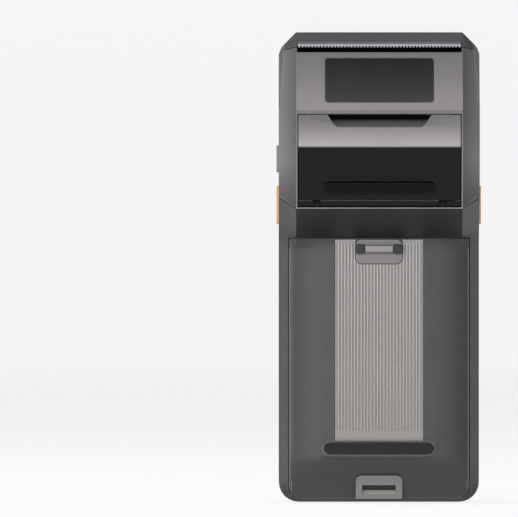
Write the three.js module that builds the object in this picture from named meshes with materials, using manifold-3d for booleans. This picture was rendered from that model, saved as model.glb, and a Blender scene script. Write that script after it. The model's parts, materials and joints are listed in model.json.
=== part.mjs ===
// Handheld point of sale terminal with a receipt printer in its head.
// Millimetres. X runs to the user's right, Z up along the body, and Y from the screen to the back.
// The origin is the centre of the grip, where a hand holds it.
import * as THREE from 'three';
import { mergeVertices } from 'three/addons/utils/BufferGeometryUtils.js';
import Module from 'manifold-3d';

const wasm = await Module();
wasm.setup();

// Clearances and stock
const gap = 0.3; // between pieces that seat on each other
const reach = 20; // overrun of a cutter past the piece that it cuts
const wall = 1.8; // silver housing and top cap
const gripWall = 2; // dark grip housing
const shafts = 24; // sides of a small cylinder
const fewSides = 14; // sides of a screw or post
const shortReach = 1; // overrun of a cutter where a long one would meet other walls
const sameSpot = 1e-4; // points closer than this are one
const roundShare = 0.99; // of half a slot's width, for ends that are all but a half circle

// Paper roll and the space round it set the size of the head
const rollRadius = 20;
const rollLength = 57.5;
const rollGap = 0.6;
const coreRadius = 6.8;
const coreWall = 0.9;
const bayWall = 1.2;
const doorThickness = 2.4;
const doorRoom = 2.1; // behind the roll, inside the door
const undersideRoom = 12.3; // from the top of the grip to the roll
const printerGap = 2.5; // from the roll to the printer chassis
const printerHeight = 17.5;
const topRoom = 9.8;
const sideRoom = 10.15; // beside the roll, for gears on one side
const rollFrontRoom = 1; // from the bay's bulkhead to the roll

// Body
const slabDepth = 3.1;
const glassThickness = 0.9;
const seamDepthLow = 5.4; // between mid frame and rear housing, along the grip
const seamDepthHigh = 10.5; // the same seam along the head
const sideDepth = 13.6; // silver side band of the grip
const gripDepth = 27.7;
const gripHeight = 105.7;
const facetWidth = 3.9; // flat facet along each side of the grip
const facetDepth = 9.1;
const stripHalf = 17.6; // flat middle of the grip, where the ribbed strip lies
const ridgeInset = 6.9; // width of the chamfer down each side of the head
const topSlope = 7.7; // rise of the top from front to apex
const topChamfer = 6.9;
const cornerRadius = 8;
const frontEdge = 0.9; // rounding of the front's long edges
const gripCentreShare = 0.59; // height of the palm's middle, as a share of the grip

const bayFront = 12; // front face of the paper bay's bulkhead
const rollDepth = bayFront + bayWall + rollFrontRoom + rollRadius;
const bulgeDepth = rollDepth + rollRadius + doorRoom + doorThickness;
const headHeight = undersideRoom + 2 * rollRadius + printerGap + printerHeight + topRoom;
const bodyHeight = gripHeight + headHeight;
const halfWidth = rollLength / 2 + bayWall + sideRoom;
const ridgeHalf = halfWidth - ridgeInset;
const facetHalf = halfWidth - facetWidth;
const rollHeight = gripHeight + undersideRoom + rollRadius;
const behind = bulgeDepth + reach; // past the back of the body
const originDepth = gripDepth / 2;
const originHeight = gripHeight * gripCentreShare;

// Small helpers: closed meshes in, closed meshes out

function solidOf(geometry) {
  const plain = geometry.clone();
  plain.deleteAttribute('normal');
  plain.deleteAttribute('uv');
  const merged = mergeVertices(plain, sameSpot);
  const places = merged.attributes.position;
  const vertProperties = new Float32Array(places.array);
  const triVerts = new Uint32Array(merged.index.array);
  return new wasm.Manifold(new wasm.Mesh({ numProp: 3, vertProperties, triVerts }));
}

function geometryOf(solid) {
  const mesh = solid.getMesh();
  const geometry = new THREE.BufferGeometry();
  geometry.setAttribute('position', new THREE.BufferAttribute(new Float32Array(mesh.vertProperties), 3));
  geometry.setIndex(new THREE.BufferAttribute(new Uint32Array(mesh.triVerts), 1));
  geometry.computeVertexNormals();
  return geometry;
}

function shapeOf(points) {
  return new THREE.Shape(points.map(([a, b]) => new THREE.Vector2(a, b)));
}

function extruded(points, length) {
  return new THREE.ExtrudeGeometry(shapeOf(points), { depth: length, bevelEnabled: false });
}

// An outline of (Y, Z) points, run along X.
function prismX(points, from, to) {
  const geometry = extruded(points, to - from);
  const turn = new THREE.Matrix4().makeBasis(
    new THREE.Vector3(0, 1, 0), new THREE.Vector3(0, 0, 1), new THREE.Vector3(1, 0, 0));
  geometry.applyMatrix4(turn);
  geometry.translate(from, 0, 0);
  return solidOf(geometry);
}

// An outline of (X, Z) points, run along Y.
function prismY(points, from, to) {
  const geometry = extruded(points, to - from);
  const turn = new THREE.Matrix4().makeBasis(
    new THREE.Vector3(1, 0, 0), new THREE.Vector3(0, 0, 1), new THREE.Vector3(0, -1, 0));
  geometry.applyMatrix4(turn);
  geometry.translate(0, to, 0);
  return solidOf(geometry);
}

// An outline of (X, Y) points, run along Z.
function prismZ(points, from, to) {
  const geometry = extruded(points, to - from);
  geometry.translate(0, 0, from);
  return solidOf(geometry);
}

function block(xFrom, xTo, yFrom, yTo, zFrom, zTo) {
  const geometry = new THREE.BoxGeometry(xTo - xFrom, yTo - yFrom, zTo - zFrom);
  geometry.translate((xFrom + xTo) / 2, (yFrom + yTo) / 2, (zFrom + zTo) / 2);
  return solidOf(geometry);
}

function rodX(y, z, radius, from, to, sides = shafts) {
  const geometry = new THREE.CylinderGeometry(radius, radius, to - from, sides);
  geometry.rotateZ(Math.PI / 2);
  geometry.translate((from + to) / 2, y, z);
  return solidOf(geometry);
}

function rodY(x, z, radius, from, to, sides = fewSides) {
  const geometry = new THREE.CylinderGeometry(radius, radius, to - from, sides);
  geometry.translate(x, (from + to) / 2, z);
  return solidOf(geometry);
}

function joined(solids) {
  return solids.reduce((sum, each) => sum.add(each));
}

function degrees(value) {
  return value * Math.PI / 180;
}

function between(from, to, share) {
  return from + (to - from) * share;
}

// A rectangle with rounded corners, as points; steps is the number of chords in each corner.
function roundedBox(left, right, low, high, lowRadius, steps = 4, highRadius = lowRadius) {
  const corners = [[right, high, 0], [left, high, 1], [left, low, 2], [right, low, 3]];
  const points = [];
  for (const [a, b, turn] of corners) {
    const radius = b === high ? highRadius : lowRadius;
    const centreA = a === right ? a - radius : a + radius;
    const centreB = b === high ? b - radius : b + radius;
    for (let step = 0; step <= steps; step += 1) {
      const angle = (turn + step / steps) * Math.PI / 2;
      points.push([centreA + radius * Math.cos(angle), centreB + radius * Math.sin(angle)]);
    }
  }
  return points;
}

// Moves each point of a line sideways, to the left of its run, by one distance.
function shifted(points, distance, closed = false) {
  return points.map((point, at) => {
    const before = points[closed ? (at + points.length - 1) % points.length : Math.max(at - 1, 0)];
    const after = points[closed ? (at + 1) % points.length : Math.min(at + 1, points.length - 1)];
    const arriving = new THREE.Vector2(point[0] - before[0], point[1] - before[1]).normalize();
    const leaving = new THREE.Vector2(after[0] - point[0], after[1] - point[1]).normalize();
    const along = arriving.clone().add(leaving).normalize();
    const side = new THREE.Vector2(-along.y, along.x);
    const edge = arriving.lengthSq() > 0 ? arriving : leaving;
    const stretch = Math.max(-edge.y * side.x + edge.x * side.y, 1 / 3);
    return [point[0] + side.x * distance / stretch, point[1] + side.y * distance / stretch];
  });
}

// Outer form of the body. Each row is one line that runs across the body: its point on the flat side,
// on two steps of the chamfer where they leave the straight line, and on the ridge and middle.
// Depths are shares of the head's depth and heights are shares of the head's height.

const headDepthAt = share => bulgeDepth * share;
const headHeightAt = share => gripHeight + headHeight * share;
const headPoint = ([depthShare, heightShare]) => [headDepthAt(depthShare), headHeightAt(heightShare)];

const headRowShares = [
  { end: [0.279, 0.849], ridge: [0.291, 0.943] },
  { end: [0.513, 0.895], near: [0.574, 0.926], far: [0.635, 0.941], ridge: [0.612, 1] },
  { end: [0.540, 0.853], near: [0.612, 0.862], far: [0.671, 0.875], ridge: [0.782, 0.950] },
  { end: [0.600, 0.759], near: [0.685, 0.765], far: [0.722, 0.783], ridge: [0.821, 0.893] },
  { end: [0.627, 0.716], near: [0.710, 0.716], far: [0.748, 0.728], ridge: [0.869, 0.802] },
  { end: [0.661, 0.660], near: [0.733, 0.664], far: [0.770, 0.669], ridge: [0.911, 0.716] },
  { end: [0.716, 0.636], ridge: [0.951, 0.619] },
  { end: [0.731, 0.600], ridge: [0.982, 0.540] },
  { end: [0.746, 0.498], ridge: [1, 0.455] },
  { end: [0.739, 0.430], ridge: [0.978, 0.375] },
  { end: [0.705, 0.318], ridge: [0.949, 0.278] },
  { end: [0.692, 0.222], ridge: [0.903, 0.146] },
  { end: [0.661, 0.194], ridge: [0.860, 0.127] },
  { end: [0.487, 0.116], ridge: [0.649, 0.0585] },
];

// Where the underside turns into the grip. The ridge's depth is the grip's and a share of the rounding.
const neckRound = 1.5;
const neckRowShares = [
  { end: [0.365, 0.063], roundShare: 1, ridgeHeightShare: 0.010 },
  { end: [0.296, 0.033], roundShare: 0.2, ridgeHeightShare: 0.001 },
  { end: [0.261, 0.005], roundShare: 0, ridgeHeightShare: -0.027 },
  { end: [0.239, -0.033], roundShare: 0, ridgeHeightShare: -0.051 },
];

// The grip's back from its straight part down round the tail to the flat end, as shares of the depth
// between the side band and the back, and of the tail's height.
const neckDrop = 5.7;
const neckEnd = gripHeight - neckDrop;
const tailHeight = 18.5;
const tailShares = [[1, 1], [0.909, 0.784], [0.787, 0.568], [0.695, 0.459], [0.014, 0]];

// The front slab's rounded top and bottom edges, as shares of its depth and of the edge's height.
const slabEdge = 9.6;
const slabTopShares = [[0.97, 0], [0.68, 0.125], [0.32, 0.375], [0.13, 0.583], [0, 1]];
const slabFoot = 5.7;
const slabFootShares = [[0, 1], [0.29, 0.579], [0.774, 0.088], [1, 0]];

const frontTop = bodyHeight - topSlope;

// All rows in order round the section, front top first, running backward and down.
function bodyRows() {
  const rows = [];
  for (const [depthShare, dropShare] of [...slabTopShares].reverse()) {
    const height = frontTop - slabEdge * dropShare;
    const depth = slabDepth * depthShare;
    rows.push({ end: [depth, height - topChamfer], ridge: [depth, height], front: true });
  }
  for (const row of headRowShares) {
    rows.push({
      end: headPoint(row.end),
      near: row.near && headPoint(row.near),
      far: row.far && headPoint(row.far),
      ridge: headPoint(row.ridge),
    });
  }
  neckRowShares.forEach((row, at) => rows.push({
    end: headPoint(row.end),
    ridge: [gripDepth + neckRound * row.roundShare, headHeightAt(row.ridgeHeightShare)],
    grip: (at + 1) / neckRowShares.length,
  }));
  rows.push({ end: [sideDepth, neckEnd], ridge: [gripDepth, neckEnd], grip: 1 });
  for (const [depthShare, heightShare] of tailShares) {
    const height = tailHeight * heightShare;
    const depth = between(sideDepth, gripDepth, depthShare);
    rows.push({ end: [sideDepth, height], ridge: [depth, height], grip: 1 });
  }
  for (const [depthShare, heightShare] of [...slabFootShares].reverse()) {
    const point = [slabDepth * depthShare, slabFoot * heightShare];
    rows.push({ end: point, ridge: point, front: true });
  }
  return rows;
}

// Share of the way from the flat side to the back, at one place across the width.
const nearInset = 1;
const farInset = 2.1;
const nearHalf = halfWidth - nearInset;
const farHalf = halfWidth - farInset;
const stationShares = [0.41, 0.73]; // of the way from the strip to the ridge
const edgeStationShare = 0.6; // of the way from the ridge to the facet
const stationHalves = [
  stripHalf, ...stationShares.map(share => between(stripHalf, ridgeHalf, share)), ridgeHalf,
  between(ridgeHalf, facetHalf, edgeStationShare), facetHalf, farHalf, nearHalf, halfWidth,
];

function gripShareAt(x) {
  const facetShare = facetDepth / (gripDepth - sideDepth);
  if (x >= facetHalf) {
    return facetShare * (halfWidth - x) / facetWidth;
  }
  const across = (x - stripHalf) / (facetHalf - stripHalf);
  return facetShare + (1 - facetShare) * Math.sqrt(Math.max(1 - across * across, 0));
}

function headShareAt(x) {
  return Math.min((halfWidth - x) / ridgeInset, 1);
}

function rowPointAt(row, x) {
  const mix = (from, to, share) => from.map((value, at) => value + (to[at] - value) * share);
  if (row.near && x >= farHalf) {
    return x >= nearHalf ?
      mix(row.end, row.near, (halfWidth - x) / (halfWidth - nearHalf)) :
      mix(row.near, row.far, (nearHalf - x) / (nearHalf - farHalf));
  }
  if (row.near) {
    return mix(row.far, row.ridge, Math.min((farHalf - x) / (farHalf - ridgeHalf), 1));
  }
  const grip = row.grip || 0;
  return mix(row.end, row.ridge, headShareAt(x) * (1 - grip) + gripShareAt(x) * grip);
}

// The body as one closed form, with every face moved in by inset. A form that has been moved in is only
// used as a cutter, so its front is left flat at frontAt.
const slabBackShare = 0.9; // rows ahead of this share of the slab are left out of a cutter

function bodyForm(inset = 0, frontAt = null) {
  const kept = row => frontAt === null || !row.front || row.end[0] > slabDepth * slabBackShare;
  const rows = bodyRows().reverse().filter(kept);
  const stations = stationHalves.map(x => {
    let outline = rows.map(row => rowPointAt(row, x));
    if (inset > 0) {
      outline = shifted(outline, inset, true);
    }
    outline = outline.map(([depth, height], at) => {
      if (frontAt !== null) {
        return rows[at].front ? [frontAt, height] : [depth, height];
      }
      const edge = frontEdge * Math.max(1 - (halfWidth - x) / (halfWidth - nearHalf), 0);
      return [Math.max(depth, edge), height];
    });
    return { x: x * (halfWidth - inset) / halfWidth, outline };
  });
  const across = [...stations].reverse().map(({ x, outline }) => ({ x: -x, outline })).concat(stations);
  return solidOf(lofted(across));
}

// A skin over outlines that run counterclockwise seen from +X, closed by a cap at each end.
function lofted(stations) {
  const count = stations[0].outline.length;
  const places = stations.flatMap(({ x, outline }) => outline.map(([y, z]) => [x, y, z]));
  const faces = [];
  for (let at = 0; at + 1 < stations.length; at += 1) {
    for (let point = 0; point < count; point += 1) {
      const next = (point + 1) % count;
      const [a, b] = [at * count + point, at * count + next];
      faces.push([a, b, b + count], [a, b + count, a + count]);
    }
  }
  const flat = outline => outline.map(([y, z]) => new THREE.Vector2(y, z));
  const capOf = outline => THREE.ShapeUtils.triangulateShape(flat(outline), []);
  const last = (stations.length - 1) * count;
  for (const [a, b, c] of capOf(stations[0].outline)) {
    faces.push([a, c, b]);
  }
  for (const [a, b, c] of capOf(stations[stations.length - 1].outline)) {
    faces.push([last + a, last + b, last + c]);
  }
  const geometry = new THREE.BufferGeometry();
  geometry.setAttribute('position', new THREE.Float32BufferAttribute(places.flat(), 3));
  geometry.setIndex(faces.flat());
  return geometry;
}

// Seams that part the body into its casings

const seamDrop = 0.9;
const seamRise = 5;
const seamTurnLow = gripHeight - seamDrop;
const seamTurnHigh = gripHeight + seamRise;
const seamLine = [
  [seamDepthLow, -reach], [seamDepthLow, seamTurnLow], [seamDepthHigh, seamTurnHigh],
  [seamDepthHigh, bodyHeight + reach],
];

// Edge of the dark grip housing: up the side band, round the neck and back to the heel of the head.
const rows = bodyRows();
const headRowCount = headRowShares.length;
const firstHead = slabTopShares.length;
const heelRow = rows[firstHead + headRowCount - 3];
const heelDrop = 0.5;
const darkLine = [
  [sideDepth, -reach],
  [sideDepth, neckEnd],
  ...rows.slice(firstHead + headRowCount - 1, firstHead + headRowCount + neckRowShares.length)
    .map(row => row.end).reverse(),
  rows[firstHead + headRowCount - 2].end,
  [heelRow.ridge[0], heelRow.ridge[1] - heelDrop],
  [behind, heelRow.ridge[1] - heelDrop],
];

// Lower edge of the dark top cap and its two side wings.
const capEdgeShares = [[0.702, 0.6505], [0.655, 0.785], [0.636, 0.916], [0.800, 0.928]];
const capBack = headPoint(capEdgeShares[capEdgeShares.length - 1])[0];
const capLine = [
  [slabDepth + gap, frontTop - topChamfer],
  rows[firstHead].end,
  rows[firstHead + 1].end,
  rows[firstHead + 5].end,
  ...capEdgeShares.map(headPoint),
  [capBack, bodyHeight + reach],
];

const everywhere = halfWidth + reach;
const across = points => prismX(points, -everywhere, everywhere);
const closedBehind = line => [...line, [behind, line[line.length - 1][1]], [behind, -reach]];
const closedAhead = (line, front) => [...line, [front, bodyHeight + reach], [front, -reach]];

const outer = bodyForm();
const framePlate = 1;
const plateBack = slabDepth + gap + framePlate; // back of the mid frame's plate
const inner = inset => bodyForm(inset, plateBack);
const cornered = prismY([
  ...roundedBox(-halfWidth, halfWidth, 0, bodyHeight, cornerRadius, 6).filter(([, z]) => z < bodyHeight / 2),
  [halfWidth + gap, bodyHeight + reach], [-halfWidth - gap, bodyHeight + reach],
], -reach, behind);
const corneredBy = inset => prismY([
  ...roundedBox(-halfWidth + inset, halfWidth - inset, inset, bodyHeight, cornerRadius - inset, 6)
    .filter(([, z]) => z < bodyHeight / 2),
  [halfWidth - inset, bodyHeight + reach], [-halfWidth + inset, bodyHeight + reach],
], -reach, behind);

const darkRegion = across(closedBehind(shifted(darkLine, -gap / 2)));
const silverLimit = across(closedBehind(shifted(darkLine, gap / 2)));
const midRegion = across(closedAhead(shifted(seamLine, gap / 2), slabDepth + gap));
const frontLimit = across(closedAhead(shifted(seamLine, -gap / 2), -reach));
const capRegion = across([...capLine, [slabDepth + gap, bodyHeight + reach]]);
const capLimit = across([
  [slabDepth, frontTop - topChamfer - gap],
  ...shifted(capLine, -gap).slice(1, -1),
  [capBack + gap, bodyHeight + reach],
  [slabDepth, bodyHeight + reach],
]);

// The line of the head's back, from the blade down to the heel, for what lies in or on it.
const backLine = rows.slice(firstHead + 3, firstHead + headRowCount - 2).map(row => row.ridge);

// The part of a line between two heights.
function clipped(line, low, high) {
  const points = [];
  line.forEach((point, at) => {
    const last = line[at - 1];
    for (const level of [high, low]) {
      if (last && (last[1] - level) * (point[1] - level) < 0) {
        const share = (last[1] - level) / (last[1] - point[1]);
        points.push([last[0] + (point[0] - last[0]) * share, level]);
      }
    }
    if (point[1] <= high && point[1] >= low) {
      points.push(point);
    }
  });
  return points;
}

// A layer of the head's back wall between two heights and two depths under the surface.
function backLayer(low, high, outside, inside, xFrom, xTo) {
  const skin = clipped(shifted(backLine, -outside), low, high);
  const under = clipped(shifted(backLine, -inside), low, high);
  return prismX([...under, ...skin.reverse()], xFrom, xTo);
}

function backDepthAt(height) {
  const at = Math.max(backLine.findIndex(([, level]) => level <= height), 1);
  const [above, below] = [backLine[at - 1], backLine[at]];
  return between(below[0], above[0], (height - below[1]) / (above[1] - below[1]));
}

// Front: glass, display, frame

const glassBorder = 1.8;
const glassEnd = 0.3; // onto the rounded ends of the slab
const glassRadius = 6.5;
const displaySide = 3.5; // from the glass's edge to the display
const displayFoot = 18.6;
const displayHead = 14;
const glassHalf = halfWidth - glassBorder;
const glassLow = slabFoot - glassEnd;
const glassHigh = frontTop - slabEdge - glassEnd;
const displayHalf = glassHalf - displaySide;
const displayLow = glassLow + displayFoot;
const displayHigh = glassHigh - displayHead;
const displayThickness = 1.6;

function frontGlass() {
  const slab = prismY(roundedBox(-glassHalf, glassHalf, glassLow, glassHigh, glassRadius), 0, glassThickness);
  return slab;
}

function displayModule() {
  const front = glassThickness + gap;
  return block(-displayHalf, displayHalf, front, front + displayThickness, displayLow, displayHigh);
}

function frontFrame() {
  const pocket = prismY(roundedBox(-glassHalf - gap, glassHalf + gap, glassLow - gap, glassHigh + gap,
    glassRadius + gap), -reach, glassThickness + gap);
  const window = block(-displayHalf - gap, displayHalf + gap, -reach, reach,
    displayLow - gap, displayHigh + gap);
  const slab = block(-everywhere, everywhere, -reach, slabDepth, -reach, bodyHeight + reach);
  return outer.intersect(cornered).intersect(slab).subtract(pocket).subtract(window);
}

// Keys on the sides of the mid frame

const keyDepthLow = 4.5;
const keyDepthHigh = 8.2;
const keyProud = 0.9;
const keyTravel = 0.6;
const keyFlange = 0.9;
const flangeRim = 1.2; // past each end of the key
const flangeDeep = 0.9; // past its back edge
const triggerStart = 5.6;
const triggerLength = 15.2;
const keyStart = 26.3;
const keyLength = 10.8;
const triggerLow = gripHeight + triggerStart;
const triggerHigh = triggerLow + triggerLength;
const sideKeyLow = gripHeight + keyStart;
const sideKeyHigh = sideKeyLow + keyLength;
const frameWall = 2;
const keyRadius = 1.2;

// side is 1 on the user's right and -1 on the left.
function pressKey(low, high, side) {
  const inside = halfWidth - frameWall - gap;
  const cap = roundedBox(keyDepthLow, keyDepthHigh, low, high, keyRadius, 3);
  const flange = roundedBox(keyDepthLow, keyDepthHigh + flangeDeep, low - flangeRim, high + flangeRim,
    keyRadius, 3);
  const run = (points, from, to) => (side > 0 ? prismX(points, from, to) : prismX(points, -to, -from));
  return run(cap, inside - gap, halfWidth + keyProud).add(run(flange, inside - keyFlange, inside));
}

function keyHole(low, high, side) {
  const hole = roundedBox(keyDepthLow - gap, keyDepthHigh + gap, low - gap, high + gap, keyRadius + gap, 3);
  const from = halfWidth - frameWall * 2;
  return side > 0 ? prismX(hole, from, halfWidth + reach) : prismX(hole, -halfWidth - reach, -from);
}

// USB-C receptacle in the right side

const portRise = 45.8;
const portHeight = gripHeight + portRise;
const portDepth = 6.6;
const portLong = 9.2;
const portWide = 3.1;
const portWall = 0.35;
const portLength = 7.3;
const portInset = 0.1;
const portBackWall = 1;
const portFace = halfWidth - portInset;
const tongueLong = 6.7;
const tongueWide = 0.7;
const tongueInset = 0.8;
const pill = grow => roundedBox(portDepth - portWide / 2 - grow, portDepth + portWide / 2 + grow,
  portHeight - portLong / 2 - grow, portHeight + portLong / 2 + grow, (portWide / 2 + grow) * roundShare, 5);

function usbReceptacle() {
  const tube = prismX(pill(0), portFace - portLength, portFace);
  return tube.subtract(prismX(pill(-portWall), portFace - portLength + portBackWall, portFace + reach));
}

function usbTongue() {
  const back = portFace - portLength + portBackWall + gap;
  return block(back, portFace - tongueInset, portDepth - tongueWide / 2, portDepth + tongueWide / 2,
    portHeight - tongueLong / 2, portHeight + tongueLong / 2);
}

// Main board, its screws and what stands on it

const boardFront = 8.6;
const boardThickness = 1.2;
const boardInset = 4.7;
const boardFoot = 2.3;
const boardHead = 17.5;
const boardHalf = halfWidth - boardInset;
const boardLow = gripHeight + boardFoot;
const boardHigh = bodyHeight - boardHead;
const screwRadius = 0.85;
const screwHole = screwRadius + gap;
const headRadius = 1.9;
const headThickness = 0.9;
const bossRadius = 2.3;
const screwEdge = 3.5; // from the board's edges to its screws
const boardScrewShares = [[1, 1], [-1, 1], [0.75, 0.667], [-1, 0]]; // across, and up between the screws' rows
const boardScrewPlaces = boardScrewShares.map(([side, rise]) => [
  (boardHalf - screwEdge) * side, between(boardLow + screwEdge, boardHigh - screwEdge, rise),
]);
const screwRoom = 0.5;
const caseScrewX = halfWidth - 2 * wall - 2 * gap - headRadius - screwRoom;
const caseScrewLow = 12;
const caseScrewDrop = 9.7;
const caseScrewHeights = [caseScrewLow, gripHeight - caseScrewDrop];
const caseScrewPlaces = caseScrewHeights.flatMap(z => [[caseScrewX, z], [-caseScrewX, z]]);
const floorFront = 8; // floor of the battery bay
const floorThickness = 1.2;

function mainBoard() {
  const board = block(-boardHalf, boardHalf, boardFront, boardFront + boardThickness, boardLow, boardHigh);
  return boardScrewPlaces.reduce((rest, [x, z]) => rest.subtract(
    rodY(x, z, screwHole, boardFront - reach, boardFront + reach)), board);
}

const canLeft = -22;
const canRight = 12;
const canFoot = 14;
const canHeight = 32;
const canDepth = 2.4;

function shieldCan() {
  const [left, right, low, high] = [canLeft, canRight, boardLow + canFoot, boardLow + canFoot + canHeight];
  const front = boardFront - gap - canDepth;
  const can = block(left, right, front, boardFront - gap, low, high);
  return can.subtract(block(left + gap, right - gap, front + gap, boardFront, low + gap, high - gap));
}

const switchLength = 6;
const switchDepth = 3.2;
const switchFace = 0.7; // from the plunger's tip to the body
const plungerRadius = 0.9;
const plungerLength = 0.9;
const plungerRise = 1.9; // from the board

// A pressed key's flange stops just short of the plunger.
function keySwitch(low, high, side) {
  const middle = (low + high) / 2;
  const flangeInside = halfWidth - frameWall - gap - keyFlange;
  const tip = flangeInside - keyTravel - gap / 2;
  const body = block(tip - switchDepth, tip - switchFace, boardFront - gap - switchDepth, boardFront - gap,
    middle - switchLength / 2, middle + switchLength / 2);
  const plunger = rodX(boardFront - gap - plungerRise, middle, plungerRadius, tip - plungerLength, tip,
    fewSides);
  const whole = body.add(plunger);
  return side > 0 ? whole : whole.mirror([1, 0, 0]);
}

// Screw along Y with its head at the back, and the boss that it goes into.
function screw(x, z, tip, seat) {
  return rodY(x, z, screwRadius, tip, seat + gap).add(rodY(x, z, headRadius, seat, seat + headThickness));
}

function boss(x, z, from, to, tip) {
  return rodY(x, z, bossRadius, from - gap, to).subtract(rodY(x, z, screwHole, tip - gap, to + reach));
}

const boardSeat = boardFront + boardThickness + gap;
const bossFloor = 1; // from the plate to a screw's tip
const screwTip = plateBack + bossFloor;
const caseSeat = floorFront + floorThickness + gap; // heads on the floor of the battery bay

// Mid frame: a ring round the edge, with a plate behind the display

function midFrame() {
  const ring = outer.intersect(cornered).intersect(midRegion)
    .subtract(inner(frameWall).intersect(corneredBy(frameWall)));
  const underCap = ring.intersect(bodyForm(wall + gap, slabDepth));
  const plated = ring.subtract(capLimit).add(underCap);
  const boardBosses = boardScrewPlaces.map(([x, z]) => boss(x, z, plateBack, boardFront - gap, screwTip));
  const caseBosses = caseScrewPlaces.map(([x, z]) => boss(x, z, plateBack, floorFront - gap, screwTip));
  const port = prismX(pill(gap), halfWidth - frameWall * 2, halfWidth + reach);
  return joined([plated, ...boardBosses, ...caseBosses])
    .subtract(keyHole(triggerLow, triggerHigh, 1))
    .subtract(keyHole(triggerLow, triggerHigh, -1))
    .subtract(keyHole(sideKeyLow, sideKeyHigh, 1))
    .subtract(port);
}

// Printer door and its opening

const doorSide = 0.9;
const doorGap = 0.4;
const doorFoot = 0.5; // from the roll's lowest point to the door's opening
const doorHead = 2.9; // from its highest point
const doorHalf = ridgeHalf - doorSide;
const doorLow = rollHeight - rollRadius + doorFoot;
const doorHigh = rollHeight + rollRadius - doorHead;
const hingeRise = 0.7;
const hingeInset = 1.225;
const hingeHeight = doorLow + hingeRise;
const hingeDepth = backDepthAt(hingeHeight) - hingeInset;
const beadRadius = 1.15;
const hingeRelief = 0.6; // round the bead, so that the door's lower edge turns clear of the housing
const pinRadius = 0.55;
const lugInset = 6.1;
const lugWidth = 2.4;
const lugTo = doorHalf - lugInset;
const lugFrom = lugTo - lugWidth;
const lugRadius = 1.4;
const windowThickness = 1;
const windowAbove = 3.6;
const windowLow = hingeHeight + beadRadius + gap;
const windowHigh = rollHeight + windowAbove;
const notchTop = 21;
const notchBottom = 18.4;
const notchHeight = 5.4;
const notchDepth = 5;
const notchRadius = 1.6;
const cupWall = 1.2;
const footHalf = 21.9;
const footRise = 5.4; // above the roll's lowest point
const footWidth = 4.2;
const footLow = rollHeight - rollRadius + footRise;
const footHigh = footLow + footWidth;
const footProud = 1.7;
const footRadius = 1.8;
const footBedDeep = 0.4;

function lugPlaces() {
  return [[lugFrom, lugTo], [-lugTo, -lugFrom]];
}

function lugRoom() {
  return joined(lugPlaces().map(([from, to]) => rodX(hingeDepth, hingeHeight, lugRadius + gap,
    from - gap, to + gap)));
}

// The finger recess narrows downward, and its floor slopes out to the surface.
function notchOutline(grow) {
  const top = doorHigh + reach;
  const radius = notchRadius;
  const low = doorHigh - notchHeight - grow;
  const slant = (notchTop - notchBottom) / (notchHeight - radius);
  const wide = notchBottom + grow + slant * (top - low - radius);
  return [
    [wide, top], [-wide, top], [-notchBottom - grow, low + radius], [-notchBottom - grow + radius, low],
    [notchBottom + grow - radius, low], [notchBottom + grow, low + radius],
  ];
}

function notchSide(inside, low) {
  const skin = backDepthAt(low);
  const top = doorHigh - doorGap;
  return [
    [skin + reach, low], [skin + reach, top + reach], [backDepthAt(top) - inside, top + reach],
    [backDepthAt(top) - inside, top - notchHeight / 3], [skin - (inside - notchDepth), low],
  ];
}

function printerDoor() {
  const top = doorHigh - doorGap;
  const shell = backLayer(hingeHeight, top, 0, doorThickness, -doorHalf, doorHalf);
  const cupLow = doorHigh - notchHeight - cupWall;
  const cupInside = notchDepth + cupWall;
  const cup = prismY(notchOutline(cupWall), 0, behind)
    .intersect(across(notchSide(cupInside, cupLow)))
    .intersect(backLayer(cupLow, top, 0, cupInside + shortReach, -doorHalf, doorHalf));
  const recess = prismY(notchOutline(0), 0, behind)
    .intersect(across(notchSide(notchDepth, doorHigh - notchHeight)));
  const windowBed = backLayer(windowLow - gap, windowHigh + gap, -shortReach, windowThickness + gap,
    -halfWidth, halfWidth);
  const bead = rodX(hingeDepth, hingeHeight, beadRadius, -doorHalf, doorHalf);
  const pins = joined(lugPlaces().map(([from, to]) => rodX(hingeDepth, hingeHeight, pinRadius,
    from - gap * 2, to + gap * 2, fewSides)));
  return joined([shell.subtract(windowBed), cup, bead]).subtract(recess).subtract(lugRoom()).add(pins);
}

function doorWindow() {
  const panel = backLayer(windowLow, windowHigh, 0, windowThickness, -doorHalf, doorHalf);
  const bed = backLayer(footLow - gap, footHigh + gap, -shortReach, footBedDeep,
    -footHalf - gap, footHalf + gap);
  return panel.subtract(bed).subtract(lugRoom());
}

function doorFootBar() {
  const bar = backLayer(footLow, footHigh, -footProud, footBedDeep - gap, -footHalf, footHalf);
  const rounding = prismY(roundedBox(-footHalf, footHalf, footLow, footHigh, footRadius), 0, behind);
  return bar.intersect(rounding);
}

// Blade and paper slot under the top cap

const bladeSide = 0.6;
const bladeThickness = 0.6;
const bladeTopShare = 0.949;
const bladeLowShare = 0.922;
const bladeBackShare = 0.776;
const slotLowShare = 0.901;
const slotFrontShare = 0.68;
const bladeHalf = ridgeHalf - bladeSide;
const bladeTop = headHeightAt(bladeTopShare);
const bladeLow = headHeightAt(bladeLowShare);
const bladeBack = headDepthAt(bladeBackShare);
const toothPitch = 1.29;
const toothDepth = 1.1;
const slotLow = headHeightAt(slotLowShare);

function cutterBlade() {
  const count = Math.floor(2 * bladeHalf / toothPitch);
  const pitch = 2 * bladeHalf / count;
  const points = [[bladeHalf, bladeTop], [-bladeHalf, bladeTop]];
  for (let tooth = 0; tooth < count; tooth += 1) {
    const left = -bladeHalf + tooth * pitch;
    points.push([left, bladeLow + toothDepth], [left + pitch / 2, bladeLow]);
  }
  points.push([bladeHalf, bladeLow + toothDepth]);
  return prismY(points, bladeBack - bladeThickness, bladeBack);
}

// Label plate, blank, in its shallow bed

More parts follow.
